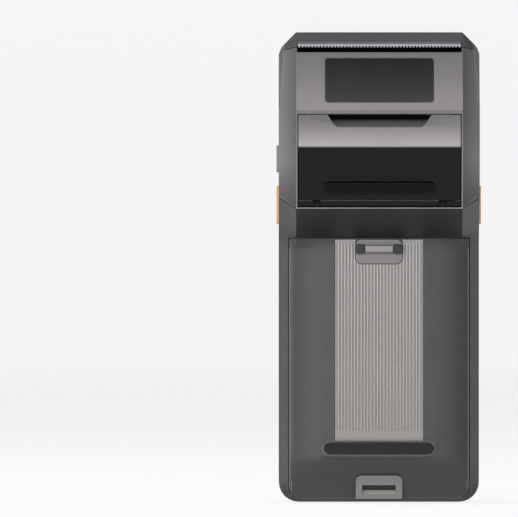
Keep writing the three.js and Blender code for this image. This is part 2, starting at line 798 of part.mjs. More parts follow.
const labelHalf = 21.5;
const labelLowShare = 0.658;
const labelHighShare = 0.871;
const labelLow = headHeightAt(labelLowShare);
const labelHigh = headHeightAt(labelHighShare);
const labelThickness = 0.5;
const labelUnder = 0.05;
const labelRadius = 1.2;

function labelForm(grow, from, to) {
  const outline = roundedBox(-labelHalf - grow, labelHalf + grow, labelLow - grow, labelHigh + grow,
    labelRadius);
  return backLayer(labelLow - grow - gap, labelHigh + grow + gap, from, to, -halfWidth, halfWidth)
    .intersect(prismY(outline, 0, behind));
}

// Rear housing: silver head and the side bands that run down to the end

const openingAhead = 5; // from the roll's middle to the front of the door's opening
const webLength = 6;
const webFoot = 3;
const webRise = 0.4;

function rearHousing() {
  const hollow = corneredBy(wall).intersect(inner(wall).add(
    block(-everywhere, everywhere, plateBack, everywhere, 0, neckEnd)));
  const shell = outer.intersect(cornered).subtract(hollow).subtract(silverLimit).subtract(frontLimit)
    .subtract(capLimit);
  const opening = block(-doorHalf - doorGap, doorHalf + doorGap, rollDepth + openingAhead, behind,
    doorLow, doorHigh);
  const slot = block(-bladeHalf - gap, bladeHalf + gap, headDepthAt(slotFrontShare), behind, slotLow,
    bodyHeight + reach);
  const hingeRoom = rodX(hingeDepth, hingeHeight, beadRadius + hingeRelief, -doorHalf - doorGap,
    doorHalf + doorGap);
  const lugs = joined(lugPlaces().map(([from, to]) => joined([
    rodX(hingeDepth, hingeHeight, lugRadius, from, to),
    block(from, to, hingeDepth - webLength, hingeDepth, hingeHeight - lugRadius, hingeHeight + webRise),
    block(from, to, hingeDepth - webLength, hingeDepth - webFoot, gripHeight, hingeHeight - lugRadius / 2),
  ]).subtract(rodX(hingeDepth, hingeHeight, pinRadius + gap, from - gap, to + gap, fewSides))));
  const rim = outer.subtract(silverLimit);
  const cut = shell.subtract(opening).subtract(slot).subtract(hingeRoom);
  const labelBed = labelForm(gap, -shortReach, labelThickness + labelUnder + gap);
  return cut.add(lugs.intersect(rim)).subtract(labelBed);
}

// Top cap with the blade seat under its rear edge

function topCap() {
  const cap = outer.intersect(cornered).subtract(bodyForm(wall, slabDepth)).intersect(capRegion);
  const seatDepth = bladeBack - bladeThickness - gap;
  const bar = outer.intersect(capRegion)
    .intersect(block(-bladeHalf, bladeHalf, seatDepth - wall, everywhere, slotLow, bodyHeight + reach));
  const seat = block(-bladeHalf - gap, bladeHalf + gap, seatDepth, everywhere, slotLow, bodyHeight + reach);
  return cap.add(bar).subtract(seat);
}

// Grip housing: dark shell with a ledge for the battery cover, a collar inside the side bands,
// and the floor of the battery bay

const coverInset = 0.2;
const coverHalf = facetHalf - coverInset;
const coverLow = 1.6;
const coverHigh = gripHeight - gap;
const coverRadius = 5;
const coverThickness = 2;
const coverGap = 0.35;
const coverRise = 1.6;
const collarRise = 2.9;
const coverFront = sideDepth + coverRise; // nothing of the cover lies ahead of this
const collarBack = sideDepth + collarRise;
const ledgeInside = 2.5;
const ledgeOutside = 1.4;
const ledgeThickness = 1.4;
const batteryLow = 30;
const batteryTop = 7.7; // from its upper end to the top of the grip
const batteryHigh = gripHeight - batteryTop;
const batteryRoom = 3; // from the battery to the cover
const batteryFront = floorFront + floorThickness + gap;
const batteryThickness = gripDepth - coverThickness - batteryRoom - batteryFront;
const batteryRadius = 2.5;
const bayRib = 1.2;
const ribRoom = 1.1; // from a rib to the heads of the case screws
const batteryHalf = caseScrewX - headRadius - ribRoom - bayRib - gap;

// The cover is rounded at its foot alone. Its head runs square into the underside.
function coverOutline(grow) {
  return roundedBox(-coverHalf - grow, coverHalf + grow, coverLow - grow, coverHigh + grow,
    Math.max(coverRadius + grow, gap), 4, gap);
}

function gripHousing() {
  const shell = outer.intersect(cornered).subtract(inner(gripWall)).intersect(darkRegion);
  const below = block(-everywhere, everywhere, floorFront, everywhere, -reach, neckEnd);
  const collar = corneredBy(wall + gap).subtract(corneredBy(wall * 2 + gap))
    .intersect(below).intersect(inner(gripWall / 2))
    .intersect(block(-everywhere, everywhere, 0, collarBack, 0, everywhere * 2));
  const floor = corneredBy(wall + gap).intersect(inner(wall + gap)).intersect(below)
    .intersect(block(-everywhere, everywhere, floorFront, floorFront + floorThickness, 0, neckEnd));
  const ledge = prismY(coverOutline(ledgeOutside), coverFront, everywhere)
    .subtract(prismY(coverOutline(-ledgeInside), 0, everywhere * 2))
    .intersect(inner(gripWall / 2)).subtract(inner(coverThickness + gap + ledgeThickness));
  const ribBack = floorFront + batteryThickness;
  const ribs = [-1, 1].map(side => block(
    side > 0 ? batteryHalf + gap : -batteryHalf - gap - bayRib,
    side > 0 ? batteryHalf + gap + bayRib : -batteryHalf - gap,
    floorFront, ribBack, batteryLow, batteryHigh));
  const holes = caseScrewPlaces.map(([x, z]) => rodY(x, z, screwHole, 0, floorFront + floorThickness + gap));
  const coverRoom = prismY(coverOutline(coverGap), coverFront - gap, everywhere * 2)
    .subtract(inner(coverThickness + gap));
  return joined([shell, collar, floor, ledge, ...ribs]).subtract(joined([coverRoom, ...holes]));
}

// Battery cover, with the ribbed strip let into it

const stripLow = 24.6;
const stripTop = 0.4;
const stripHigh = coverHigh - stripTop;
const stripBand = 1.4;
const stripTail = 3.8;
const stripBase = 0.5;
const ribPitch = 1.3;
const ribHeight = 0.4;
const ribShare = 0.5;
const stripBed = 1;
const lugHalf = 9.3;

const lowerFootHalf = 21.7;
const lowerFootLow = 19.4;
const lowerFootHigh = 23.6;
const lowerFootProud = 2.6;
const footBossGrow = 0.95;
const footBossProud = 1.5;
const footBedDepth = 1.6;
const footBossTop = gripDepth + footBossProud;

function batteryCover() {
  const skin = outer.subtract(inner(coverThickness)).intersect(darkRegion)
    .intersect(prismY(coverOutline(0), coverFront, everywhere));
  const bed = block(-stripHalf - gap, stripHalf + gap, gripDepth - stripBed, everywhere, stripLow - gap,
    stripHigh + gap);
  const footBoss = prismY(footOutline(footBossGrow), gripDepth - coverThickness, footBossTop);
  const footBed = prismY(footOutline(gap), footBossTop - footBedDepth, everywhere);
  return skin.subtract(bed).add(footBoss).subtract(footBed);
}

function footOutline(grow) {
  return roundedBox(-lowerFootHalf - grow, lowerFootHalf + grow, lowerFootLow - grow, lowerFootHigh + grow,
    ((lowerFootHigh - lowerFootLow) / 2 + grow) * roundShare);
}

function rearFoot() {
  return prismY(footOutline(0), footBossTop - footBedDepth + gap, gripDepth + lowerFootProud);
}

const plateHeight = 9.6;
const plateRadius = 2.4;
const plateThickness = 0.8;
const postInner = 5.8;
const postDrop = 1.8; // from the strip's upper end
const postHeight = 3.8;
const postProud = 3.6;
const postHigh = stripHigh - postDrop;
const postLow = postHigh - postHeight;
const postTop = gripDepth + postProud;
const barDepth = 1.7;
const barInset = 0.3;
const barHeight = 3.2;
const barRadius = 0.6;
const stripBack = gripDepth - stripBed + gap + stripBase;

function ribbedStrip() {
  const floor = gripDepth - stripBed + gap;
  const count = Math.floor((2 * stripHalf - ribPitch) / ribPitch);
  const start = -(count * ribPitch) / 2;
  const points = [[stripHalf, floor], [stripHalf, stripBack]];
  for (let rib = count - 1; rib >= 0; rib -= 1) {
    const left = start + rib * ribPitch + ribPitch * (1 - ribShare) / 2;
    const right = left + ribPitch * ribShare;
    points.push([right, stripBack], [right - ribHeight / 4, stripBack + ribHeight],
      [left + ribHeight / 4, stripBack + ribHeight], [left, stripBack]);
  }
  points.push([-stripHalf, stripBack], [-stripHalf, floor]);
  const ribbed = prismZ(points, stripLow + stripTail, stripHigh - stripBand);
  const middle = block(-everywhere, everywhere, 0, everywhere, stripLow + stripTail + gap,
    stripHigh - stripBand - gap);
  const plain = block(-stripHalf, stripHalf, floor, stripBack + ribHeight / 2, stripLow, stripHigh)
    .subtract(middle);
  const plateRoom = prismY(plateOutline(gap), 0, everywhere);
  return ribbed.add(plain).subtract(plateRoom);
}

function plateOutline(grow) {
  return roundedBox(-lugHalf - grow, lugHalf + grow, stripHigh - plateHeight - grow, stripHigh + grow * 4,
    plateRadius + grow);
}

const plateBackFace = gripDepth - stripBed + gap + plateThickness;

function strapPlate() {
  return prismY(plateOutline(0), gripDepth - stripBed + gap, plateBackFace);
}

function strapPost(side) {
  const [from, to] = side > 0 ? [postInner, lugHalf] : [-lugHalf, -postInner];
  return block(from, to, plateBackFace + gap, postTop, postLow, postHigh);
}

function strapBar() {
  const middle = (postLow + postHigh) / 2;
  const bar = roundedBox(postTop - barInset - barDepth, postTop - barInset, middle - barHeight / 2,
    middle + barHeight / 2, barRadius, 3);
  return prismX(bar, -postInner + gap, postInner - gap);
}

// Lower strap lug: a wedge under the sloping tail, with a slot for the strap

const lugSlotHalf = 6.7;
const lugEdge = 0.6; // thickness of the wedge's upper edge
const lugSlopeShares = [0.573, 0.459, 0.378, 0.297, 0.216, 0.141];
const lugFootShare = 0.070;
const lugBackShares = [[0.582, 0.070], [0.688, 0.416]];
const lugSlotShares = [[0.312, 0.368], [0.028, 0.162], [0.028, -0.054], [0.376, -0.054], [0.376, 0.173]];
const lugSlotLowShare = 0.173;
const lugSlotHighShare = 0.368;

// Depths are shares of the way from the side band to the back, and heights are shares of the tail's.
function lowerLug() {
  const tailPoint = ([depthShare, heightShare]) => [
    between(sideDepth, gripDepth, depthShare), tailHeight * heightShare,
  ];
  const slopeAt = heightShare => {
    const [depth, height] = tailPoint([tailDepthShareAt(heightShare), heightShare]);
    return [depth + gap, height];
  };
  const [topDepth, top] = slopeAt(lugSlopeShares[0]);
  const [footDepth, foot] = slopeAt(lugFootShare);
  const side = [
    ...lugSlopeShares.map(slopeAt), [footDepth + gap, foot], ...lugBackShares.map(tailPoint),
    [topDepth + lugEdge, top],
  ];
  const wedge = prismX(side, -lugHalf, lugHalf).intersect(prismY(
    roundedBox(-lugHalf, lugHalf, -reach, top, plateRadius), 0, everywhere));
  const slot = prismX([
    [everywhere, tailHeight * lugSlotLowShare], [everywhere, tailHeight * lugSlotHighShare],
    ...lugSlotShares.map(tailPoint),
  ], -lugSlotHalf, lugSlotHalf);
  return wedge.subtract(slot);
}

function tailDepthShareAt(heightShare) {
  for (let at = 1; at < tailShares.length; at += 1) {
    const [upper, lower] = [tailShares[at - 1], tailShares[at]];
    if (heightShare >= lower[1]) {
      return between(lower[0], upper[0], (heightShare - lower[1]) / (upper[1] - lower[1]));
    }
  }
  return 0;
}

// Battery and its contacts

function batteryPack() {
  const section = roundedBox(-batteryHalf, batteryHalf, batteryFront, batteryFront + batteryThickness,
    batteryRadius);
  return prismZ(section, batteryLow, batteryHigh);
}

const contactHalf = 9;
const contactDepth = 5;
const contactHeight = 2.7;

function batteryContacts() {
  const low = batteryHigh + gap;
  return block(-contactHalf, contactHalf, batteryFront, batteryFront + contactDepth,
    low, low + contactHeight);
}

// Paper bay: a bulkhead, a cradle round the roll and two side walls

const baySide = 0.75;
const bayHalf = rollLength / 2 + baySide;
const cradleInner = rollRadius + rollGap;
const cradleStart = 112; // degrees round the roll, from the back over the top
const cradleEnd = 292;
const cradleSteps = 16;
const cheekBack = 4; // from the roll's middle to the back of the side walls
const rollSides = 40;
const bulkheadSide = 0.6;
const bulkheadFoot = 4;
const bulkheadHead = 14.5;
const bulkheadHalf = halfWidth - wall - gap - bulkheadSide;
const bulkheadLow = gripHeight + bulkheadFoot;
const bulkheadHigh = bodyHeight - bulkheadHead;
const chassisBoss = 1.7; // bosses ahead of the bulkhead

function paperBay() {
  const bulkhead = block(-bulkheadHalf, bulkheadHalf, bayFront, bayFront + bayWall, bulkheadLow,
    bulkheadHigh);
  const arc = radius => Array.from({ length: cradleSteps + 1 }, (none, step) => {
    const angle = degrees(between(cradleStart, cradleEnd, step / cradleSteps));
    return [rollDepth + radius * Math.cos(angle), rollHeight + radius * Math.sin(angle)];
  });
  const outside = arc(cradleInner + bayWall);
  const cradle = prismX([...outside, ...arc(cradleInner).reverse()], -bayHalf - bayWall, bayHalf + bayWall);
  const cheek = [...outside, [rollDepth + cheekBack, rollHeight]];
  const cheeks = [-1, 1].map(side => (side > 0 ?
    prismX(cheek, bayHalf, bayHalf + bayWall) : prismX(cheek, -bayHalf - bayWall, -bayHalf)));
  const bosses = chassisScrewPlaces.map(([x, z]) => rodY(x, z, bossRadius, bayFront - chassisBoss,
    bayFront + bayWall / 2));
  const holes = chassisScrewPlaces.map(([x, z]) => rodY(x, z, screwHole, bayFront - reach, bayFront + reach));
  return joined([bulkhead, cradle, ...cheeks, ...bosses]).subtract(joined(holes));
}

// The chords of the roll stay inside the cradle's.
function paperRoll() {
  const radius = rollRadius;
  const ring = rodX(rollDepth, rollHeight, radius, -rollLength / 2, rollLength / 2, rollSides);
  return ring.subtract(rodX(rollDepth, rollHeight, coreRadius, -rollLength, rollLength, shafts));
}

function paperCore() {
  const tube = rodX(rollDepth, rollHeight, coreRadius - gap, -rollLength / 2, rollLength / 2, shafts);
  const bore = coreRadius - gap - coreWall;
  return tube.subtract(rodX(rollDepth, rollHeight, bore, -rollLength, rollLength, shafts));
}

// Printer: chassis, platen and its gear train, motor and thermal head

const chassisLow = rollHeight + rollRadius + printerGap;
const chassisHigh = chassisLow + printerHeight;
const chassisFront = bayFront + bayWall + gap;
const chassisSide = 1.5;
const chassisHalf = rollLength / 2 + chassisSide;
const sheet = 1;
const platenRadius = 4.6;
const platenSides = 32;
const platenBehind = 7; // behind the roll's middle
const platenRise = 11.1; // above the chassis's foot
const platenDepth = rollDepth + platenBehind;
const platenHeight = chassisLow + platenRise;
const platenShaftRadius = 1.5;
const bushRadius = 2.6;
const gearModule = 0.45;
const platenTeeth = 20;
const idlerTeeth = 26;
const pinionTeeth = 10;
const gearGap = 0.05;
const gearThickness = 1.7;
const gearFrom = chassisHalf + gap;
const thermalThickness = 1.4;
const springRadius = 1.9;
const motorRadius = 6.2;
const motorLength = 10;

const addendumShare = 0.85;
const dedendumShare = 1.15;
const rootShare = 0.3; // half a tooth's width at its root, as a share of the pitch
const tipShare = 0.11;
const pitchRadius = teeth => teeth * gearModule / 2;
const idlerAngle = degrees(188);
const motorAngle = degrees(176);
const idlerSpan = pitchRadius(platenTeeth) + pitchRadius(idlerTeeth) + gearGap;
const motorSpan = pitchRadius(idlerTeeth) + pitchRadius(pinionTeeth) + gearGap;
const idlerDepth = platenDepth + idlerSpan * Math.cos(idlerAngle);
const idlerHeight = platenHeight + idlerSpan * Math.sin(idlerAngle);
const motorDepth = idlerDepth + motorSpan * Math.cos(motorAngle);
const motorHeight = idlerHeight + motorSpan * Math.sin(motorAngle);

// A spur gear whose first tooth points along phase.
function gearOutline(teeth, phase) {
  const pitch = pitchRadius(teeth);
  const [tip, root] = [pitch + gearModule * addendumShare, pitch - gearModule * dedendumShare];
  const step = 2 * Math.PI / teeth;
  const corners = [[root, -rootShare], [tip, -tipShare], [tip, tipShare], [root, rootShare]];
  const points = [];
  for (let tooth = 0; tooth < teeth; tooth += 1) {
    const middle = phase + tooth * step;
    for (const [radius, share] of corners) {
      points.push([radius * Math.cos(middle + share * step), radius * Math.sin(middle + share * step)]);
    }
  }
  return points;
}

function gear(teeth, phase, depth, height, bore) {
  const points = gearOutline(teeth, phase).map(([y, z]) => [y + depth, z + height]);
  const body = prismX(points, gearFrom, gearFrom + gearThickness);
  const hole = rodX(depth, height, bore || gap, gearFrom - gap, gearFrom + gearThickness + gap);
  return bore > 0 ? body.subtract(hole) : body;
}

// The phase that puts a gap of the second gear on a tooth of the first, along the line between them.
function meshPhase(firstPhase, firstTeeth, secondTeeth, angle) {
  const tooth = (angle - firstPhase) * firstTeeth / (2 * Math.PI);
  return angle + Math.PI - (0.5 - tooth) * 2 * Math.PI / secondTeeth;
}

const platenPhase = 0;
const idlerPhase = meshPhase(platenPhase, platenTeeth, idlerTeeth, idlerAngle);
const pinionPhase = meshPhase(idlerPhase, idlerTeeth, pinionTeeth, motorAngle);
const idlerPinRadius = 0.9;

const cheekFoot = 3.6; // how far the side sheets run behind the platen's middle, at four heights
const cheekMiddle = 3.8;
const cheekShoulder = 1.4;
const cheekTop = -3;
const shoulderRise = 5;
const baseAhead = 9;
const seatHalf = 16;
const seatRise = 3;
const motorHole = 1.5;
const chassisScrewInset = 10.25;
const chassisScrewDrop = 7.2;
const chassisScrewX = chassisHalf - chassisScrewInset;
const chassisScrewPlaces = [-1, 1].map(side => [side * chassisScrewX, chassisHigh - chassisScrewDrop]);
const chassisScrewTip = bayFront - chassisBoss + gap;
const chassisSeat = chassisFront + sheet + gap;

function printerChassis() {
  const side = [
    [chassisFront, chassisLow], [platenDepth + cheekFoot, chassisLow],
    [platenDepth + cheekMiddle, platenHeight],
    [platenDepth + cheekShoulder, platenHeight + shoulderRise], [platenDepth + cheekTop, chassisHigh],
    [chassisFront, chassisHigh],
  ];
  const sides = [-1, 1].map(turn => (turn > 0 ?
    prismX(side, chassisHalf - sheet, chassisHalf) : prismX(side, -chassisHalf, -chassisHalf + sheet)));
  const base = block(-chassisHalf, chassisHalf, chassisFront, platenDepth - baseAhead,
    chassisLow, chassisLow + sheet);
  const flange = block(-chassisHalf, chassisHalf, chassisFront, chassisFront + sheet,
    chassisLow, chassisHigh);
  const seatBack = headFront - springLength - gap;
  const springSeat = block(-chassisHalf, seatHalf, seatBack - sheet, seatBack,
    chassisLow, platenHeight + seatRise);
  const bores = joined([
    rodX(platenDepth, platenHeight, bushRadius + gap / 2, -everywhere, everywhere),
    rodX(motorDepth, motorHeight, motorHole, 0, everywhere),
    rodX(idlerDepth, idlerHeight, idlerPinRadius + gap, 0, everywhere, fewSides),
    ...chassisScrewPlaces.map(([x, z]) => rodY(x, z, screwHole, 0, chassisSeat)),
  ]);
  return joined([...sides, base, flange, springSeat]).subtract(bores);
}

const platenShort = 0.5;
const shaftEnd = 0.8;
const bushRim = 0.4;
const pinSeat = 0.5;
const pinEnd = 0.9;
const pinHead = 0.5;
const pinHeadRim = 0.7;
const motorHoleDepth = 3;
const motorShaftRadius = 0.75;
const motorShaftReach = 2.6;

function platenRoller() {
  const length = rollLength - platenShort;
  const tube = rodX(platenDepth, platenHeight, platenRadius, -length / 2, length / 2, platenSides);
  return tube.subtract(rodX(platenDepth, platenHeight, platenShaftRadius + gap, -length, length));
}

function platenShaft() {
  return rodX(platenDepth, platenHeight, platenShaftRadius, -chassisHalf - shaftEnd,
    gearFrom + gearThickness);
}

function platenBush(side) {
  const body = rodX(platenDepth, platenHeight, bushRadius, chassisHalf - sheet - bushRim,
    chassisHalf + gap / 3);
  const bush = body.subtract(rodX(platenDepth, platenHeight, platenShaftRadius + gap / 3, 0, everywhere));
  return side > 0 ? bush : bush.mirror([1, 0, 0]);
}

function platenGear() {
  return gear(platenTeeth, platenPhase, platenDepth, platenHeight, platenShaftRadius + gap);
}

function idlerGear() {
  return gear(idlerTeeth, idlerPhase, idlerDepth, idlerHeight, idlerPinRadius + gap);
}

function idlerPin() {
  const from = chassisHalf - sheet - pinSeat;
  const shaft = rodX(idlerDepth, idlerHeight, idlerPinRadius, from, gearFrom + gearThickness + pinEnd,
    fewSides);
  const head = rodX(idlerDepth, idlerHeight, idlerPinRadius + pinHeadRim, from - pinHead, from, fewSides);
  return shaft.add(head);
}

function stepperMotor() {
  const right = chassisHalf - sheet - gap;
  const can = rodX(motorDepth, motorHeight, motorRadius, right - motorLength, right);
  return can.subtract(rodX(motorDepth, motorHeight, motorHole, right - motorHoleDepth, right + gap));
}

function motorPinion() {
  const from = chassisHalf - sheet - gap - motorShaftReach;
  const shaft = rodX(motorDepth, motorHeight, motorShaftRadius, from, gearFrom + gap, fewSides);
  return gear(pinionTeeth, pinionPhase, motorDepth, motorHeight, 0).add(shaft);
}

const headBack = platenDepth - platenRadius - gap;
const headEnd = 1;
const headHalf = rollLength / 2 - headEnd;
const headBelow = 5;
const headAbove = 4.5;
const sinkBelow = 6;
const sinkAbove = 4;
const sinkThickness = 1.8;
const headFront = headBack - thermalThickness - gap - sinkThickness;
const springLength = 4.6;
const springTurns = 4;
const springWire = 0.25;
const springX = 9;
const coilSteps = 8; // to a turn

function thermalHead() {
  return block(-headHalf, headHalf, headBack - thermalThickness, headBack, platenHeight - headBelow,
    platenHeight + headAbove);
}

function headSink() {
  return block(-headHalf, headHalf, headFront, headFront + sinkThickness, platenHeight - sinkBelow,
    platenHeight + sinkAbove);
}

function headSpring(x) {
  const radius = springRadius - springWire;
  const length = springLength - 2 * springWire - gap;
  const steps = springTurns * coilSteps;
  const path = new THREE.CatmullRomCurve3(Array.from({ length: steps + 1 }, (none, step) => {
    const angle = step / coilSteps * 2 * Math.PI;
    return new THREE.Vector3(x + radius * Math.cos(angle), length * step / steps,
      platenHeight + radius * Math.sin(angle));
  }));
  const wire = roundedBox(-springWire, springWire, -springWire, springWire, springWire * roundShare, 1);
  const coil = new THREE.ExtrudeGeometry(shapeOf(wire), { steps, extrudePath: path, bevelEnabled: false });
  coil.translate(0, headFront - springLength + springWire, 0);
  return solidOf(coil);
}

// Looks

const finishes = {
  blackGlass: { color: 0x0c0d0f, roughness: 0.08, metalness: 0 },
  black: { color: 0x1c1c1d, roughness: 0.45, metalness: 0 },
  silver: { color: 0x99969a, roughness: 0.42, metalness: 0.2 },
  midGrey: { color: 0x8a8888, roughness: 0.45, metalness: 0.2 },
  darkGrey: { color: 0x575553, roughness: 0.5, metalness: 0.1 },
  rubber: { color: 0x222222, roughness: 0.85, metalness: 0 },
  orange: { color: 0xe8a468, roughness: 0.45, metalness: 0 },
  steel: { color: 0xb9bbbd, roughness: 0.3, metalness: 1 },
  board: { color: 0x1d5a34, roughness: 0.6, metalness: 0 },
  paper: { color: 0xf1efe8, roughness: 0.9, metalness: 0 },
  card: { color: 0xb09a78, roughness: 0.9, metalness: 0 },
  white: { color: 0xe9e9e6, roughness: 0.5, metalness: 0 },
  brass: { color: 0xb08d4a, roughness: 0.35, metalness: 1 },
  battery: { color: 0x2b3a55, roughness: 0.5, metalness: 0 },
};

const terminal = new THREE.Group();
terminal.position.set(0, -originDepth, -originHeight);

function place(name, solid, finish) {
  const mesh = new THREE.Mesh(geometryOf(solid), new THREE.MeshStandardMaterial(finishes[finish]));
  mesh.name = name;
  terminal.add(mesh);
}

place('front_glass', frontGlass(), 'blackGlass');
place('display_module', displayModule(), 'black');
place('front_frame', frontFrame(), 'black');
place('mid_frame', midFrame(), 'midGrey');
place('main_board', mainBoard(), 'board');
place('shield_can', shieldCan(), 'steel');
place('usb_receptacle', usbReceptacle(), 'steel');
place('usb_tongue', usbTongue(), 'white');
place('right_trigger', pressKey(triggerLow, triggerHigh, 1), 'orange');
place('left_trigger', pressKey(triggerLow, triggerHigh, -1), 'orange');
place('side_key', pressKey(sideKeyLow, sideKeyHigh, 1), 'midGrey');
place('right_trigger_switch', keySwitch(triggerLow, triggerHigh, 1), 'steel');
place('left_trigger_switch', keySwitch(triggerLow, triggerHigh, -1), 'steel');
place('side_key_switch', keySwitch(sideKeyLow, sideKeyHigh, 1), 'steel');
boardScrewPlaces.forEach(([x, z], at) => {
  place(`board_screw_${at + 1}`, screw(x, z, screwTip, boardSeat), 'steel');
});
caseScrewPlaces.forEach(([x, z], at) => {
  place(`case_screw_${at + 1}`, screw(x, z, screwTip, caseSeat), 'steel');
});
chassisScrewPlaces.forEach(([x, z], at) => {
  place(`chassis_screw_${at + 1}`, screw(x, z, chassisScrewTip, chassisSeat), 'steel');
});
place('rear_housing', rearHousing(), 'silver');
place('top_cap', topCap(), 'darkGrey');
place('cutter_blade', cutterBlade(), 'steel');
place('label_plate', labelForm(0, labelUnder, labelUnder + labelThickness), 'black');
place('printer_door', printerDoor(), 'silver');
place('door_window', doorWindow(), 'blackGlass');
place('door_foot', doorFootBar(), 'rubber');
place('paper_bay', paperBay(), 'black');
place('paper_roll', paperRoll(), 'paper');
place('paper_core', paperCore(), 'card');
place('printer_chassis', printerChassis(), 'steel');
place('platen_roller', platenRoller(), 'rubber');
place('platen_shaft', platenShaft(), 'steel');
place('platen_bush_right', platenBush(1), 'brass');
place('platen_bush_left', platenBush(-1), 'brass');
place('platen_gear', platenGear(), 'white');
place('idler_gear', idlerGear(), 'white');
place('idler_pin', idlerPin(), 'steel');
place('stepper_motor', stepperMotor(), 'steel');
place('motor_pinion', motorPinion(), 'brass');
place('thermal_head', thermalHead(), 'black');
place('head_heat_sink', headSink(), 'steel');
place('head_spring_right', headSpring(springX), 'steel');
place('head_spring_left', headSpring(-springX), 'steel');
place('battery_pack', batteryPack(), 'battery');
place('battery_contacts', batteryContacts(), 'black');
place('grip_housing', gripHousing(), 'darkGrey');
place('battery_cover', batteryCover(), 'darkGrey');
place('ribbed_strip', ribbedStrip(), 'silver');
place('strap_plate', strapPlate(), 'silver');
place('strap_post_right', strapPost(1), 'black');
place('strap_post_left', strapPost(-1), 'black');
place('strap_bar', strapBar(), 'steel');
place('lower_strap_lug', lowerLug(), 'darkGrey');
place('rear_foot', rearFoot(), 'rubber');

export default terminal;
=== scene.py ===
import json
from math import radians

import bpy
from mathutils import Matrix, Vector


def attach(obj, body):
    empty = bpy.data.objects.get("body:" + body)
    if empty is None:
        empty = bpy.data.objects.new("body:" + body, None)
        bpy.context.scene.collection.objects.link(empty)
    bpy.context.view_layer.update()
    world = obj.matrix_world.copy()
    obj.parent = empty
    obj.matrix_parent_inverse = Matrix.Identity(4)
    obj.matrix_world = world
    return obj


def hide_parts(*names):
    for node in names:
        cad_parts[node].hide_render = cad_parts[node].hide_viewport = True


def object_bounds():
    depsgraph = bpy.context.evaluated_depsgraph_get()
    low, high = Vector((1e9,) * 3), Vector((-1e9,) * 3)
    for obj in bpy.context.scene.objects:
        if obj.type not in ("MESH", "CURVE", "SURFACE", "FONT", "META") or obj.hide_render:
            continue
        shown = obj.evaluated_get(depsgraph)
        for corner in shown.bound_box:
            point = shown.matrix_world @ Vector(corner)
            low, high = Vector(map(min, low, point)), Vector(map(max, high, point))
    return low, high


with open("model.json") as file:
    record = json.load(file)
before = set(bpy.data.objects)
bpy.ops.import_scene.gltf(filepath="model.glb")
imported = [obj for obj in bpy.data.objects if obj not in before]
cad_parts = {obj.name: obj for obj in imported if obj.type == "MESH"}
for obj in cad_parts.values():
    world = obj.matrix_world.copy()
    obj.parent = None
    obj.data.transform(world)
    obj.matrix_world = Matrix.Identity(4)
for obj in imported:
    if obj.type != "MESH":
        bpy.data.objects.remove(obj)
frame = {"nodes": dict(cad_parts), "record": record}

cadLow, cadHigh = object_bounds()
nodes = frame["nodes"]

# Sizes are in millimetres. As in the CAD, depths start at the screen and heights at the lower end.
mm = 0.001


def place(x, depth, height):
    return Vector((x * mm, depth * mm + cadLow.y, height * mm + cadLow.z))


def depthOf(point):
    return (point.y - cadLow.y) / mm


def heightOf(point):
    return (point.z - cadLow.z) / mm


def channels(hexColour):
    return [int(hexColour[at:at + 2], 16) for at in (0, 2, 4)]


sRgb = {"kink": 0.04045, "slope": 12.92, "offset": 0.055, "power": 2.4}


def linear(hexColour):
    # an sRGB hex colour as the linear one that a socket takes
    colour = []
    for share in [channel / 255 for channel in channels(hexColour)]:
        if share <= sRgb["kink"]:
            colour.append(share / sRgb["slope"])
        else:
            colour.append(((share + sRgb["offset"]) / (1 + sRgb["offset"])) ** sRgb["power"])
    return (*colour, 1)


# Materials

def addNode(tree, kind, settings=None, links=None):
    made = tree.nodes.new(kind)
    for name, value in (settings or {}).items():
        if name in made.inputs:
            made.inputs[name].default_value = value
        else:
            setattr(made, name, value)
    for name, output in (links or {}).items():
        tree.links.new(output, made.inputs[name])
    return made


colourMix = {"share": 0, "from": 6, "to": 7, "result": 2}  # a Mix node's sockets share their names


def addFade(tree, fade, colour, spot):
    # the colour turns to another between two heights, or between two distances from the middle
    axes = addNode(tree, "ShaderNodeSeparateXYZ", links={"Vector": spot})
    if "heights" in fade:
        along = axes.outputs["Z"]
        start, end = [place(0, 0, height).z for height in fade["heights"]]
    else:
        along = addNode(tree, "ShaderNodeMath", {"operation": "ABSOLUTE"},
                        {"Value": axes.outputs["X"]}).outputs["Value"]
        start, end = [width * mm for width in fade["widths"]]
    share = addNode(tree, "ShaderNodeMapRange", {"From Min": start, "From Max": end}, {"Value": along})
    faded = addNode(tree, "ShaderNodeMix", {"data_type": "RGBA"})
    tree.links.new(share.outputs["Result"], faded.inputs[colourMix["share"]])
    tree.links.new(colour, faded.inputs[colourMix["from"]])
    faded.inputs[colourMix["to"]].default_value = linear(fade["colour"])
    return faded.outputs[colourMix["result"]]


# What a look has where it doesn't say otherwise
usualLook = {"pattern": "ShaderNodeTexNoise", "patternSettings": {"Detail": 3.0}, "stretch": (1, 1, 1),
             "spread": (0.3, 0.7), "cloudDetail": 2.0, "bumpStrength": 0.5, "fades": []}


